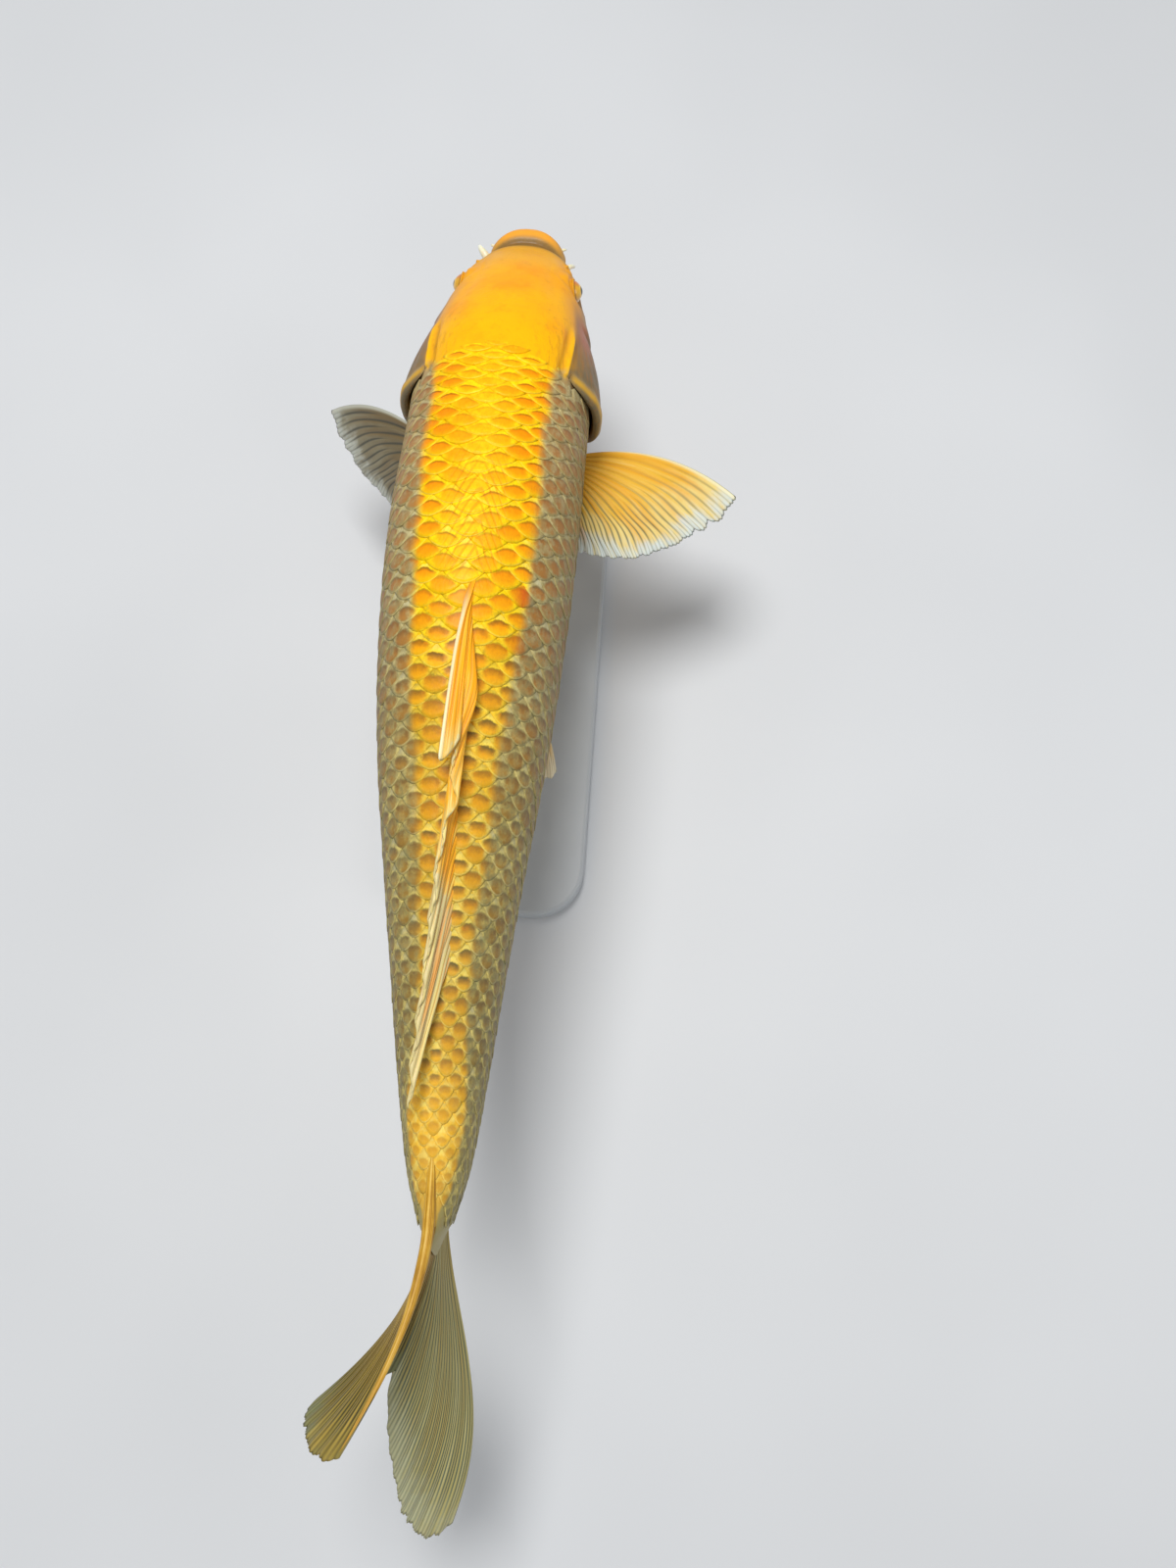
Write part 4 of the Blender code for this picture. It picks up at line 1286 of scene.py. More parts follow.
def scale_angles(s, share):
    """Angles round the section of many points of the lattice, read from a table of 60 by 60."""
    last = 59
    places = np.linspace(BED_FROM, BODY_END, last + 1)
    shares = np.linspace(0, GIRTH_END, last + 1)
    table = np.array([np.abs(angle_of_share(place, shares)) for place in places])
    column = np.clip(np.abs(share) / GIRTH_END * last, 0, last - 0.001)
    row = np.clip((s - BED_FROM) / (BODY_END - BED_FROM) * last, 0, last - 0.001)
    i, j = row.astype(int), column.astype(int)
    di, dj = row - i, column - j
    angle = (
        table[i, j] * (1 - di) * (1 - dj)
        + table[i + 1, j] * di * (1 - dj)
        + table[i, j + 1] * (1 - di) * dj
        + table[i + 1, j + 1] * di * dj
    )
    return np.where(angle > math.pi, math.tau - angle, angle) * np.sign(share)


def make_scales():
    bed, plate = make_scale_bed(), make_scale_plate()
    group = scale_tree()
    row_count = row_of_s(BODY_END) + 2
    for name, side in (("scales_left", -1), ("scales_right", 1)):
        seeds = make_scale_seeds(side)
        mesh = run_tree(seeds, group, Plate=plate, Bed=bed, Finish=SCALE, Seed=3 + side)
        bpy.data.objects.remove(seeds)
        scales = plain_object(name, mesh)
        flat = get_attribute(scales, "flat", 3)
        root = get_attribute(scales, "root", 3)
        s, share = s_of_row(flat[:, 0]), girth_share(flat[:, 1])
        root_s, root_line = s_of_row(root[:, 0]), root[:, 1]
        beside_ridge = 1 - smooth(0.2, 1.7, np.abs(root_line))
        faint = beside_ridge * (1 - smooth(0.235, 0.275, root_s))
        faint = faint + 0.5 * (1 - smooth(0.110, 0.135, root_s))
        spots = 0.0
        for place, line in RED_SPOTS:
            near = bump(root_s, place, 0.004) * bump(root_line, line, 0.6)
            spots = spots + near * bump(flat[:, 1] - root[:, 1], 0.1, 0.35)
        for label, values in (
            ("along", s / BODY_END),
            ("around", share_round(scale_angles(s, share), s)),
            ("pad_along", flat[:, 0] - root[:, 0]),
            ("pad_across", (flat[:, 1] - root[:, 1]) * side),
            ("pad_show", 1 - 0.75 * np.clip(faint, 0, 1)),
            ("spot", np.clip(spots, 0, 1)),
        ):
            set_attribute(scales, label, values)
        lay_bake_map(scales, root, row_count)
        settle(scales, "scaled_skin")
    for helper in (bed, plate):
        bpy.data.objects.remove(helper)


def lay_bake_map(scales, root, row_count):
    """Every scale gets its own patch, at its root's place on the unwrapped body."""
    mesh = scales.data
    across = get_attribute(scales, "plate_across")
    reach = get_attribute(scales, "plate_along")
    # a patch is 0.86 of a row long and wide, so that neighbours don't touch
    u = (root[:, 0] + 0.6 + (reach - 0.5) * 0.86) / (row_count + 1)
    v = (np.abs(root[:, 1]) + 0.6 + across * 0.43) / (ROWS_ROUND + 1.2)
    layer = mesh.uv_layers.new(name="OFBake")
    vertex = np.empty(len(mesh.loops), dtype=np.int32)
    mesh.loops.foreach_get("vertex_index", vertex)
    flat = np.stack((u[vertex], v[vertex]), axis=-1).astype(np.float32)
    layer.data.foreach_set("uv", flat.ravel())


# ---------------------------------------------------------------------------- fins


def fin_tree():
    """Turns a fin's middle sheet into a closed fin with rays that fork twice on their way out."""
    group, tree, given = geometry_group(
        "raise_fin_rays",
        "Sheet",
        ("Rays", "Float", 16.0),
        ("Relief", "Float", 0.60),
        ("First Fork", "Float", 0.35),
        ("Second Fork", "Float", 0.66),
        ("Finish", "Material", None),
    )
    across, along = tree.named("ray_across"), tree.named("ray_along")
    relief = Level(tree, given["Relief"])

    def crest(times):
        wave = tree.math("SINE", across * given["Rays"] * (math.pi * times))
        return abs(wave) ** 0.75

    def towards(start, length):
        return tree.math("DIVIDE", along - start, length, clamp=True)

    def mixed(share, a, b):
        return a * (1 - share) + b * share

    once = mixed(towards(given["First Fork"], 0.22), crest(1), crest(2))
    twice = mixed(towards(given["Second Fork"], 0.20), once, crest(4))
    profile = 1 - relief + mixed(towards(0.78, 0.22) * 0.75, twice, 1.0) * relief
    height = tree.named("half_thickness") * profile
    normal = tree.add("GeometryNodeInputNormal")
    crested = tree.keep(given["Sheet"], "ray_crest", twice)

    def face_of(sign):
        offset = tree.scaled(normal, height * sign)
        return tree.add("GeometryNodeSetPosition", Geometry=crested, Offset=offset)

    both = tree.add("GeometryNodeJoinGeometry")
    tree.put(both.inputs[0], face_of(1.0))
    tree.put(both.inputs[0], tree.add("GeometryNodeFlipFaces", Mesh=face_of(-1.0)))
    closed = tree.add("GeometryNodeMergeByDistance", Geometry=both, Distance=2e-6)
    return end_group(group, tree, closed, given["Finish"])


RAY_TIPS = 4  # tips of a ray after it has forked twice
LAST_CORNER = 0.045  # how much the last rays are shortened
FIN_RIPPLE = 0.00045


def make_fin(name, sheet_point, material, rays, rows, root, tip, columns_per_tip=4, lead=0.0,
             lead_side=0.0, scallop=0.02, relief=0.6, forks=(0.35, 0.66), wave=0.0, corner=0.030):
    """A fin: sheet_point(a, r) gives its middle sheet, a across the rays and r out along them.

    root and tip are its thickness there, lead is how much thicker the ray at lead_side is, scallop
    is the depth of the notches between ray tips, wave bends the rays, and corner shortens the
    first ones.
    """
    columns = int(rays * RAY_TIPS * columns_per_tip) + 1
    a = np.linspace(0, 1, columns)[:, None]
    r = np.linspace(0, 1, rows)[None, :]
    notch = np.abs(np.sin(math.pi * rays * a))
    fine = np.abs(np.sin(math.pi * rays * RAY_TIPS * a))
    knots = int(rays * 3)
    worn = np.interp(a[:, 0], np.linspace(0, 1, knots), RANDOM.random(knots))[:, None]
    reach = 1 - scallop * (0.5 * (1 - notch) + 0.25 * (1 - fine) + 1.1 * worn**2)
    reach = reach - corner * (1 - smooth(0, 0.05, a)) - LAST_CORNER * smooth(0.93, 1.0, a)
    weave = wave * np.sin(13 * r + 17 * a) * smooth(0.15, 0.9, r) * 4 * a * (1 - a)
    points = sheet_point(a + weave + 0 * r, r * mix(1.0, reach, smooth(0.0, 0.5, r)))
    ripple = FIN_RIPPLE * np.sin(math.pi * rays * 2 * a + 0.7 + 3 * r) * smooth(0.45, 1.0, r)
    points = points + grid_normals(points, False) * ripple[..., None]
    half = mix(root, tip, r**0.7) / 2
    half = half * (1 + lead * bump(a, lead_side, 0.045) * (1 - 0.65 * r))
    rim = np.minimum(np.minimum(a, 1 - a) * columns / 4, np.minimum(r, 1 - r) * rows / 2)
    half = half * np.sqrt(np.clip(rim, 0, 1))
    sheet = mesh_object(name + "_sheet", points, grid_faces(columns, rows))
    for label, values in (
        ("ray_across", a + 0 * r),
        ("ray_along", r + 0 * a),
        ("half_thickness", half),
        ("ray_count", np.full(columns * rows, rays)),
    ):
        set_attribute(sheet, label, values)
    first, second = forks
    mesh = run_tree(sheet, FIN_RAYS, Rays=float(rays), Relief=relief, First_Fork=first,
                    Second_Fork=second, Finish=material)
    bpy.data.objects.remove(sheet)
    settle(plain_object(name + "_rays", mesh), "fin", name)


def through_three(values, a):
    first, middle, last = values
    return first * (1 - a) * (1 - 2 * a) + middle * 4 * a * (1 - a) + last * a * (2 * a - 1)


# Tail fin lobes: tips of the innermost, middle and leading rays (right of, behind, above the root)
UPPER_LOBE = ((-0.0150, 0.0720, 0.0), (-0.0500, 0.0860, 0.0250), (-0.0280, 0.1010, 0.0600))
LOWER_LOBE = ((-0.0150, 0.0720, 0.0), (-0.0090, 0.1345, -0.0280), (0.0125, 0.1585, -0.0610))
TAIL_ROOT_HALF_HEIGHT = 0.0270
TAIL_ROOT_BULGE = 0.0050
TAIL_CURL = 2.0
TAIL_SPREAD = 0.75
LOWER_LOBE_BELLY = 0.0180
LOWER_LOBE_BELLY_PLACE = 1.4


def tail_point(lobe):
    sign = math.copysign(1, lobe[2][2])
    belly = LOWER_LOBE_BELLY if lobe is LOWER_LOBE else 0.0
    lift = (STATIONS[-1, 2] - STATIONS[-1, 3]) / 2
    root = np.array((float(spine_x(BODY_END)), SNOUT_Y - BODY_END, AXIS_HEIGHT + lift))

    def point(a, r):
        side_tip, back_tip, height_tip = (through_three(values, a) for values in zip(*lobe))
        back = mix(TAIL_ROOT_BULGE * (1 - a * a) - 0.004, back_tip, r)
        height = mix(sign * TAIL_ROOT_HALF_HEIGHT * a, height_tip, np.maximum(r, 0) ** TAIL_SPREAD)
        side = side_tip * r**TAIL_CURL
        side = side + belly * a * np.sin(math.pi * np.maximum(r, 0) ** LOWER_LOBE_BELLY_PLACE)
        side = side + 0.0012 * np.sin(9 * a + 2.0 * sign) * smooth(0.35, 1.0, r)
        return root + np.stack((side, -back, height), axis=-1)

    return point


DORSAL_ROOT = (0.2500, 0.4400)
DORSAL_FRONT_RAY = 0.1020
DORSAL_RAY = 0.0640
DORSAL_LAST_RAY = 0.0770
DORSAL_FRONT_SHARE = 0.075
DORSAL_FOLD = 10 * DEGREE
DORSAL_PLEAT_WIDTH = 0.0010
# How far the ray tips lie to the right of the root, from the first ray to the last: the fin is
# folded, so that the front rays fan out over the ones behind them
DORSAL_SWAY_PLACES = (0.00, 0.08, 0.16, 0.22, 0.28, 0.38, 0.60, 0.82, 1.00)
DORSAL_SWAY = (-0.0092, -0.0005, 0.0114, 0.0100, -0.0010, -0.0064, -0.0092, -0.0112, -0.0104)
DORSAL_SWAY_RISE = 0.75


def soft_table(value, places, heights):
    """Reads a table with rounded corners: the mean of the table just before and after."""
    reach = np.linspace(-0.045, 0.045, 7)
    return sum(np.interp(value + shift, places, heights) for shift in reach) / len(reach)


def dorsal_point(a, r):
    front = np.exp(-((a / DORSAL_FRONT_SHARE) ** 2))
    ray = mix(mix(DORSAL_RAY, DORSAL_LAST_RAY, a), DORSAL_FRONT_RAY, front)
    s = mix(*DORSAL_ROOT, a) + ray * math.cos(DORSAL_FOLD) * r
    height = ray * math.sin(DORSAL_FOLD) * r
    _, back, _ = body_sizes(np.minimum(s, BODY_END))
    sway = soft_table(a, DORSAL_SWAY_PLACES, DORSAL_SWAY)
    back_again = np.where(sway > 0, smooth(0.40, 1.0, r), 0.0)
    swing = np.maximum(r, 0) ** DORSAL_SWAY_RISE * (1 - 1.25 * back_again)
    side = spine_x(s) + back * np.sin(markings_turn(s)) + sway * swing
    side = side - DORSAL_PLEAT_WIDTH * np.cos(math.tau * 9 * a) * smooth(0.05, 0.45, r)
    lift = 0.0016 * smooth(0.0, 0.2, r) - 0.0030 * (1 - r)
    return np.stack((side, SNOUT_Y - s, AXIS_HEIGHT + back + height + lift), axis=-1)


ANAL_ROOT = (0.4560, 0.4880)
ANAL_RAYS = (0.0520, 0.0300)
ANAL_ANGLES = (52 * DEGREE, 28 * DEGREE)


def anal_point(a, r):
    root = mix(*ANAL_ROOT, a)
    angle = mix(*ANAL_ANGLES, a)
    reach = mix(*ANAL_RAYS, a**0.8) * r
    s = root + reach * np.cos(angle)
    _, _, belly = body_sizes(root)
    height = AXIS_HEIGHT - belly + 0.004 * (1 - r) - reach * np.sin(angle)
    side = spine_x(s) + 0.0008 * np.sin(7 * a) * r
    return np.stack((side, SNOUT_Y - s, height), axis=-1)


# Paired fins: (longest ray, shortest ray, how fast they shorten, how much shorter still the rays
# behind the leading ones are, first and last ray's angle)
PECTORAL_FAN = (0.1078, 0.0300, 1.25, 0.020, 10.6 * DEGREE, 90 * DEGREE)
PELVIC_FAN = (0.0600, 0.0380, 1.2, 0.0, 2 * DEGREE, 58 * DEGREE)
# Where the front and rear of a paired fin's root are: distance behind the snout and angle
PECTORAL_ROOT = ((0.1262, 127 * DEGREE), (0.1470, 135 * DEGREE))
PELVIC_POSE = (-62, 38, -25)  # sweep, droop and twist in degrees
PELVIC_ROOT = ((0.2700, 146 * DEGREE), (0.2790, 156 * DEGREE))


def fan_point(side, fan, root, pose, bow, camber):
    """A paired fin: rays fan out between two root points, in a swept, drooping, twisted frame."""
    longest, shortest, fall, cut, first, last = fan
    sweep, droop, twist = (angle * DEGREE for angle in pose)
    turn = (
        Matrix.Scale(side, 3, Vector((1, 0, 0)))
        @ Matrix.Rotation(sweep, 3, "Z")
        @ Matrix.Rotation(droop, 3, "Y")
        @ Matrix.Rotation(twist, 3, "X")
    )
    turn = np.array(turn)
    front_root, rear_root = (body_point(s, side * angle, -0.003) for s, angle in root)

    def point(a, r):
        length = mix(shortest, longest, (1 - a) ** fall) * (1 - cut * bump(a, 0.24, 0.16))
        angle = mix(first, last, a)
        along = length * r
        bulge = bow * length * 4 * r * (1 - r) * (1 - a)
        flat = np.stack(
            (
                along * np.cos(angle) + bulge * np.sin(angle),
                -along * np.sin(angle) + bulge * np.cos(angle),
                -camber * r * r + 0.0010 * np.sin(10 * a) * smooth(0.4, 1.0, r),
            ),
            axis=-1,
        )
        return mix(front_root, rear_root, a[..., None]) + flat @ turn.T

    return point


def stem_material():
    """Smooth golden skin over the bundle of rays that leads the tail fin."""
    material, tree, shader = new_material("golden_stem")
    turn = tree.attribute("stem_turn") * math.tau
    run = tree.attribute("stem_run")
    across, up = (tree.math(kind, turn) * 2.2 for kind in ("COSINE", "SINE"))
    streaks = tree.noise(tree.vector(across, up, run * 3.0), 1.6, 3.0, 0.6)
    cloud = tree.noise(place_of(tree), 90.0, 4.0, 0.6)
    colour = tree.shades(
        streaks + (cloud - 0.5) * 0.4,
        (0.34, 158, 112, 30), (0.50, 200, 150, 40), (0.66, 222, 184, 84),
    )
    colour = tree.blend(run.ease(0.10, 0.35) * 0.25, colour, paint(160, 120, 50))
    tree.set(
        shader,
        Base_Color=colour,
        Roughness=0.42,
        Specular_IOR_Level=0.25,
        Normal=tree.bump(streaks, 0.30, 0.0005),
    )
    return material


def make_stem():
    """The bundle of short rays that runs from the ridge of the stalk down the upper lobe's front."""
    lobe = tail_point(UPPER_LOBE)
    ridge = np.linspace(BODY_END - 0.038, BODY_END - 0.006, 12)
    start = body_point(ridge, 0.0, np.linspace(-0.0022, 0.0, 12))
    path = np.concatenate((start, lobe(0.985, np.linspace(0.07, 0.93, 44))))
    for _ in range(6):
        path[1:-1] = (path[:-2] + 2 * path[1:-1] + path[2:]) / 4
    run = np.concatenate(((0.0,), np.cumsum(np.linalg.norm(np.diff(path, axis=0), axis=1))))
    radii = np.interp(run / run[-1], (0, 0.10, 0.24, 0.40, 0.65, 0.90, 1.0),
                      (0.0006, 0.0021, 0.0030, 0.0027, 0.0016, 0.0009, 0.0003))
    sides = 20
    stem = tube("tail_stem", path, radii, stem_material(), sides)
    turns, runs = np.meshgrid(np.arange(sides) / sides, np.linspace(0, 1, len(path)))
    set_attribute(stem, "stem_turn", np.append(turns.ravel(), (0.0, 0.0)))
    set_attribute(stem, "stem_run", np.append(runs.ravel(), (0.0, 1.0)))
    settle(stem, "fin")


# Each stop of a fin's colours is its place from the root, 0, to the edge, 1, and the colour there
FIN_FINISHES = {
    "pectoral_fin_gold": dict(
        stops=(
            (0.00, 218, 166, 60), (0.20, 226, 168, 34), (0.55, 228, 178, 50),
            (0.84, 230, 204, 124), (1.00, 208, 216, 210),
        ),
        furrow=(112, 110, 78), warm=(228, 158, 24), cream=(238, 214, 132), edge=(240, 232, 190),
        fade=0.44, contrast=0.85, stripe=0.60, ray=(0.20, 0.86), calm=0.85,
    ),
    "pectoral_fin_shaded": dict(
        stops=(
            (0.00, 112, 92, 54), (0.50, 114, 100, 70), (0.80, 132, 124, 98), (1.00, 190, 192, 180)
        ),
        furrow=(62, 62, 52), warm=(116, 90, 48), cream=(150, 142, 112), edge=(190, 190, 174),
        fade=0.10, contrast=0.80, ray=(0.20, 0.80),
    ),
    "dorsal_fin_gold": dict(
        stops=(
            (0.00, 250, 174, 2), (0.50, 250, 176, 4), (0.80, 238, 170, 28),
            (1.02, 224, 188, 98), (1.30, 208, 192, 134),
        ),
        furrow=(196, 130, 30), warm=(240, 146, 6), cream=(246, 222, 120), edge=(250, 240, 196),
        fade=1.05, contrast=0.66, stripe=0.62, soft_edge=0.85,
    ),
    "upper_tail_fin": dict(
        stops=(
            (0.00, 196, 146, 40), (0.28, 158, 126, 42), (0.75, 142, 124, 56), (0.96, 128, 130, 88)
        ),
        furrow=(62, 58, 28), warm=(128, 98, 30), cream=(212, 176, 76),
        fade=-0.20, contrast=0.95, stripe=0.55, ray=(0.42, 0.97),
    ),
    "lower_tail_fin": dict(
        stops=(
            (0.00, 166, 146, 80), (0.30, 162, 150, 92), (0.75, 170, 158, 98), (0.96, 178, 176, 138)
        ),
        furrow=(84, 96, 78), warm=(168, 140, 66), cream=(204, 196, 146),
        fade=-0.10, contrast=0.92, stripe=0.60, ray=(0.36, 0.95),
    ),
    "belly_fin": dict(
        stops=((0.00, 206, 156, 62), (0.50, 220, 176, 88), (0.94, 226, 212, 176)),
        furrow=(140, 116, 74), warm=(216, 156, 60), cream=(240, 220, 168), contrast=0.70,
    ),
}


def make_fins():
    looks = {name: fin_material(name, **given) for name, given in FIN_FINISHES.items()}
    for word, side, pose, finish in (
        ("left", -1, (33, 17, 50), "pectoral_fin_shaded"),
        ("right", 1, (3, 4, 2), "pectoral_fin_gold"),
    ):
        point = fan_point(side, PECTORAL_FAN, PECTORAL_ROOT, pose, bow=0.125, camber=0.010)
        make_fin(f"pectoral_fin_{word}", point, looks[finish], rays=16, rows=56, root=0.0034,
                 tip=0.0008, lead=0.8, scallop=0.030, forks=(0.42, 0.80), wave=0.008, corner=0.0)
        point = fan_point(side, PELVIC_FAN, PELVIC_ROOT, PELVIC_POSE, bow=0.05, camber=0.003)
        make_fin(f"pelvic_fin_{word}", point, looks["belly_fin"], rays=9, rows=40, root=0.0028,
                 tip=0.0008, lead=0.8, scallop=0.03, wave=0.006)
    for name, lobe, finish, lead in (
        ("tail_fin_upper_lobe", UPPER_LOBE, "upper_tail_fin", 1.15),
        ("tail_fin_lower_lobe", LOWER_LOBE, "lower_tail_fin", 0.70),
    ):
        make_fin(name, tail_point(lobe), looks[finish], rays=10, rows=84, root=0.0042, tip=0.0009,
                 lead=lead, lead_side=1.0, scallop=0.016, forks=(0.20, 0.45), wave=0.005)
    make_stem()
    make_fin("dorsal_fin", dorsal_point, looks["dorsal_fin_gold"], rays=30, rows=64, root=0.0030,
             tip=0.0012, columns_per_tip=3, lead=0.9, scallop=0.002, relief=0.42,
             forks=(0.40, 0.75), wave=0.003, corner=0.0)
    make_fin("anal_fin", anal_point, looks["belly_fin"], rays=7, rows=40, root=0.0030,
             tip=0.0009, lead=0.6, scallop=0.03)


# ---------------------------------------------------------------------------- eyes and feelers


def eye_material():
    """A dark pupil in a gold iris with a red fleck, under a clear glossy front."""
    material, tree, shader = new_material("gold_eye")
    ring = tree.attribute("iris_ring")
    turn = tree.attribute("iris_turn")
    across, up = (tree.math(kind, turn * math.tau) for kind in ("COSINE", "SINE"))
    spokes_noise = tree.noise(tree.vector(across, up, ring * 1.2), 9.0, 4.0, 0.65)
    edge = ring + (spokes_noise - 0.5) * 0.03
    iris = tree.shades(
        edge,
        (0.34, 120, 70, 20), (0.38, 246, 200, 60), (0.52, 232, 176, 34), (0.74, 222, 164, 30),
        (0.84, 140, 92, 24), (0.92, 214, 164, 56),
    )
    fleck = tree.math("COSINE", (turn - 0.12) * math.tau).ease(0.55, 0.95) * ring.ease(0.42, 0.60)
    colour = tree.layers(
        iris,
        (spokes_noise.ease(0.50, 0.72) * 0.45, paint(150, 96, 30)),
        (fleck * 0.55, paint(206, 82, 30)),
        (edge.fade(0.325, 0.350), (0.004, 0.004, 0.005, 1)),
    )
    tree.set(
        shader,
        Base_Color=colour,
        Roughness=0.28,
        Coat_Weight=1.0,
        Coat_Roughness=0.02,
        Normal=tree.bump(spokes_noise, 0.25, 0.0003),
    )
    return material


def make_eyes():
    finish = eye_material()
    rings, turns = 44, 64
    for name, side in (("eye_left", -1), ("eye_right", 1)):
        centre, outward, radius = eye_frame(side)
        up = unit(np.array((0, 0, 1.0)) - outward * outward[2])
        forward = np.cross(up, outward) * side
        around = spokes(forward, up, turns)
        verts, ring_share = [], []
        for i in range(1, rings):
            polar = math.pi * i / rings
            front = polar < math.pi / 2
            flat = radius * math.sin(polar)
            height = radius * math.cos(polar)
            height += CORNEA_RISE * math.exp(-((flat / 0.0036) ** 2)) * front
            verts.extend(centre + around * flat + outward * height)
            ring_share += [min(1.0, flat / radius) if front else 1.0] * turns
        verts += [centre + outward * (radius + CORNEA_RISE), centre - outward * radius]
        piece = mesh_object(name + "_ball", verts, closed_faces(rings - 1, turns), finish)
        fix_outward(piece)
        set_attribute(piece, "iris_ring", ring_share + [0.0, 1.0])
        turn_share = np.tile(np.arange(turns) / turns, rings - 1)
        set_attribute(piece, "iris_turn", np.append(turn_share, (0.0, 0.0)))
        settle(piece, "eye", name)


def fix_outward(piece):
    """Turns a closed piece's faces outwards."""
    bm = bmesh.new()
    bm.from_mesh(piece.data)
    bmesh.ops.recalc_face_normals(bm, faces=bm.faces)
    bm.to_mesh(piece.data)
    bm.free()


def tube(name, path, radii, material, sides):
    """A closed tube along a path, with a rounded end."""
    along = np.gradient(path, axis=0)
    along /= np.linalg.norm(along, axis=1, keepdims=True)
    reference = np.array((0.0, 0.0, 1.0))
    if abs(along[0] @ reference) > 0.9:
        reference = np.array((1.0, 0.0, 0.0))
    verts = []
    for place, direction, radius in zip(path, along, radii):
        first = unit(np.cross(direction, reference))
        verts.extend(place + radius * spokes(first, np.cross(direction, first), sides))
    verts += [path[0], path[-1]]
    piece = mesh_object(name, verts, closed_faces(len(path), sides), material)
    fix_outward(piece)
    return piece


def barbel_material():
    material, tree, shader = new_material("pale_feeler")
    cloud = tree.noise(place_of(tree), 500.0, 3.0)
    colour = tree.shades(
        tree.attribute("reach") + (cloud - 0.5) * 0.2,
        (0.0, 226, 190, 120), (0.3, 238, 228, 190), (1.0, 246, 246, 226),
    )
    tree.set(
        shader,
        Base_Color=colour,
        Roughness=0.36,
        Subsurface_Weight=0.2,
        Subsurface_Scale=0.001,
        Normal=tree.bump(cloud, 0.3, 0.0003),
    )
    return material


# Feelers: name, distance behind the snout, degrees from the ridge, how deep the root is sunk, the
# way to the tip and the bow beside it (right of, ahead of, above the root), thickness. The left
# corner feeler floats up beside the mouth and the right one hangs.
BOW_OF_CORNER = (0.001, 0, 0.002)
LIP_FEELER = ("lip", 0.0075, 72, -0.0010, (0.0036, 0.0036, -0.0036), (0.001, 0, 0.001), 0.0010)
LEFT_CORNER = ("corner", 0.0160, 82, -0.0012, (0.0066, 0.0094, 0.0000), BOW_OF_CORNER, 0.0024)
RIGHT_CORNER = ("corner", 0.0160, 97, -0.0012, (0.0058, 0.0080, -0.0080), BOW_OF_CORNER, 0.0018)


def make_barbels():
    finish = barbel_material()
    sides = 18
    t = np.linspace(0, 1, 26)
    taper = mix(1.25, 0.42, t**0.8) * np.sqrt(np.clip((1.002 - t) * 14, 0, 1))
    taper = taper * (1 + 0.05 * np.sin(40 * t))
    for word, side, corner in (("left", -1, LEFT_CORNER), ("right", 1, RIGHT_CORNER)):
        for kind, s, angle, sunk, step, bend, thick in (corner, LIP_FEELER):
            name = f"barbel_{kind}_{word}"
            step, bend = (np.array(way) * (side, 1, 1) for way in (step, bend))
            root = body_point(s, side * angle * DEGREE, sunk)
            path = root + np.outer(t * 1.06, step) + np.outer(np.sin(math.pi * t), bend)
            piece = tube(name + "_feeler", path, thick * taper, finish, sides)
            set_attribute(piece, "reach", np.append(np.repeat(t, sides), (0.0, 1.0)))
            settle(piece, "barbel", name)


# ---------------------------------------------------------------------------- stand


def stand_material():
    material, tree, shader = new_material("satin_grey_paint")
    place = place_of(tree)
    cloud = tree.noise(place, 14.0, 3.0)
    tree.set(
        shader,
        Base_Color=tree.shades(cloud, (0.3, 176, 180, 183), (0.7, 186, 190, 192)),
        Roughness=0.36 + cloud * 0.12,
        Normal=tree.bump(tree.noise(place, 900.0, 2.0), 0.12, 0.0003),
    )
    return material


def steel_material():
    material, tree, shader = new_material("brushed_rod_steel")
    scale = (600.0, 600.0, 30.0)
    stretched = tree.add("ShaderNodeMapping", Vector=place_of(tree), Scale=scale)
    brush = tree.noise(stretched, 1.0, 4.0, 0.6)
    tree.set(
        shader,
        Base_Color=tree.ramp(brush, (0.3, (0.50, 0.51, 0.52, 1)), (0.7, (0.66, 0.67, 0.68, 1))),
        Metallic=1.0,
        Roughness=0.24 + brush * 0.16,
        Normal=tree.bump(brush, 0.10, 0.0002),
    )
    return material


def finish_stand():
    grey, steel = stand_material(), steel_material()
    for name, finish in (
        ("stand_base", grey),
        ("stand_rod_front", steel),
        ("stand_rod_rear", steel),
    ):
        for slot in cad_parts[name].material_slots:
            slot.material = finish


# ---------------------------------------------------------------------------- room, light, camera

CAMERA_BEHIND_SNOUT = 0.508
CAMERA_RIGHT = 0.0790
CAMERA_ABOVE_AXIS = 0.686
CAMERA_ELEVATION = 76.0
CAMERA_TURN = 4.09
CAMERA_LENS = 30.375
CAMERA_SENSOR = 36.0


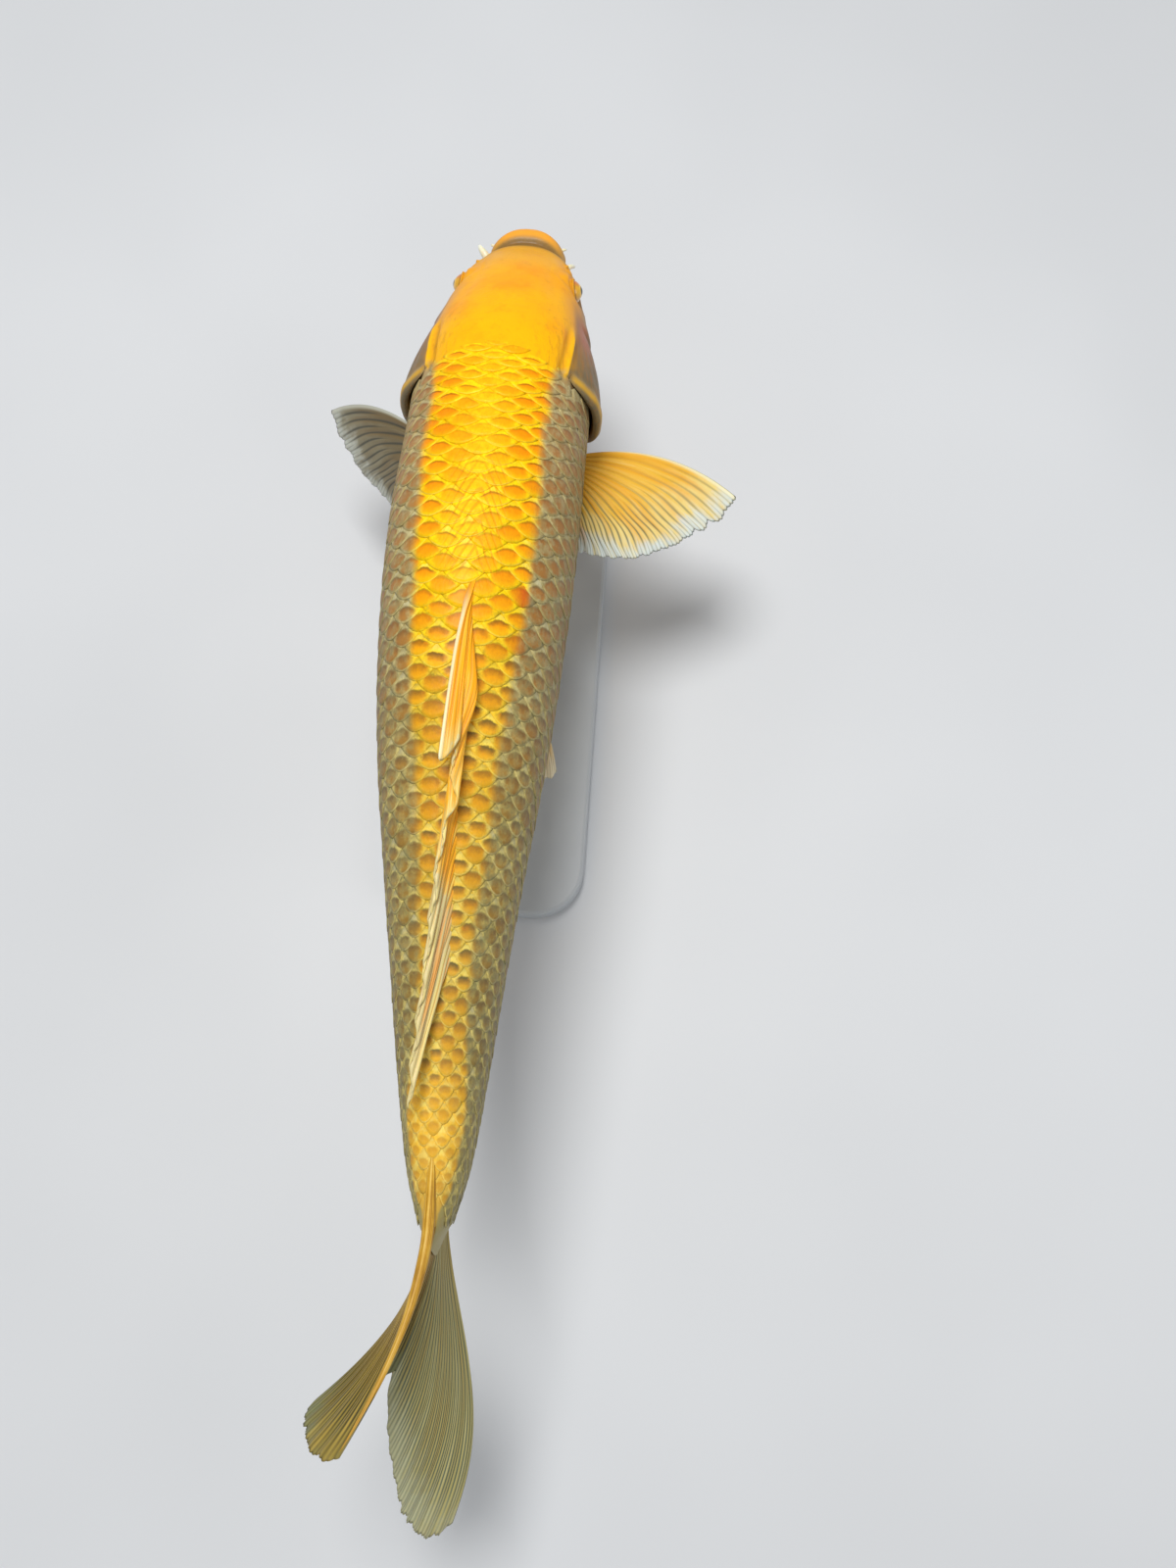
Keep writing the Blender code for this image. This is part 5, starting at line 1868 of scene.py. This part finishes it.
def make_room():
    edge = 6.0
    corners = [(-edge, -edge, 0), (edge, -edge, 0), (edge, edge, 0), (-edge, edge, 0)]
    floor = mesh_object("floor", corners, [(0, 1, 2, 3)])
    material, tree, shader = new_material("pale_floor")
    cloud = tree.noise(place_of(tree), 3.0, 2.0)
    colour = tree.ramp(cloud, (0.3, (0.62, 0.63, 0.64, 1)), (0.7, (0.65, 0.66, 0.67, 1)))
    tree.set(shader, Base_Color=colour, Roughness=0.75)
    floor.data.materials.append(material)
    world = bpy.data.worlds.new("studio")
    bpy.context.scene.world = world
    world.use_nodes = True
    sky = world.node_tree.nodes["Background"]
    Tree(world.node_tree).set(sky, Color=(0.93, 0.96, 1.0, 1), Strength=0.33)
    for name, place, target, width, power in (
        ("key", (-0.22, 0.30, 2.1), (0, -0.1, 0.19), 0.8, 35.0),
        ("fill", (1.6, -0.2, 1.2), (0, -0.1, 0.19), 1.2, 5.0),
        ("rear", (-0.3, -1.8, 1.0), (0, -0.2, 0.19), 1.0, 4.0),
    ):
        light = bpy.data.lights.new(name, "AREA")
        light.shape = "DISK"
        light.size = width
        light.energy = power
        lamp = bpy.data.objects.new(name, light)
        lamp.location = place
        lamp.rotation_euler = (Vector(target) - Vector(place)).to_track_quat("-Z", "Y").to_euler()
        bpy.context.scene.collection.objects.link(lamp)


def make_camera():
    data = bpy.data.cameras.new("camera")
    data.sensor_fit = "VERTICAL"
    data.sensor_height = CAMERA_SENSOR
    data.lens = CAMERA_LENS
    camera = bpy.data.objects.new("camera", data)
    camera.location = (
        CAMERA_RIGHT,
        SNOUT_Y - CAMERA_BEHIND_SNOUT,
        AXIS_HEIGHT + CAMERA_ABOVE_AXIS,
    )
    camera.rotation_euler = ((90 - CAMERA_ELEVATION) * DEGREE, 0, CAMERA_TURN * DEGREE)
    bpy.context.scene.collection.objects.link(camera)
    bpy.context.scene.camera = camera
    bpy.context.scene.view_settings.view_transform = "Standard"


make_camera()
make_room()
SKIN = skin_material()
SCALE = scale_material()
FIN_RAYS = fin_tree()
make_skin()
make_scales()
make_fins()
make_eyes()
make_barbels()
finish_stand()
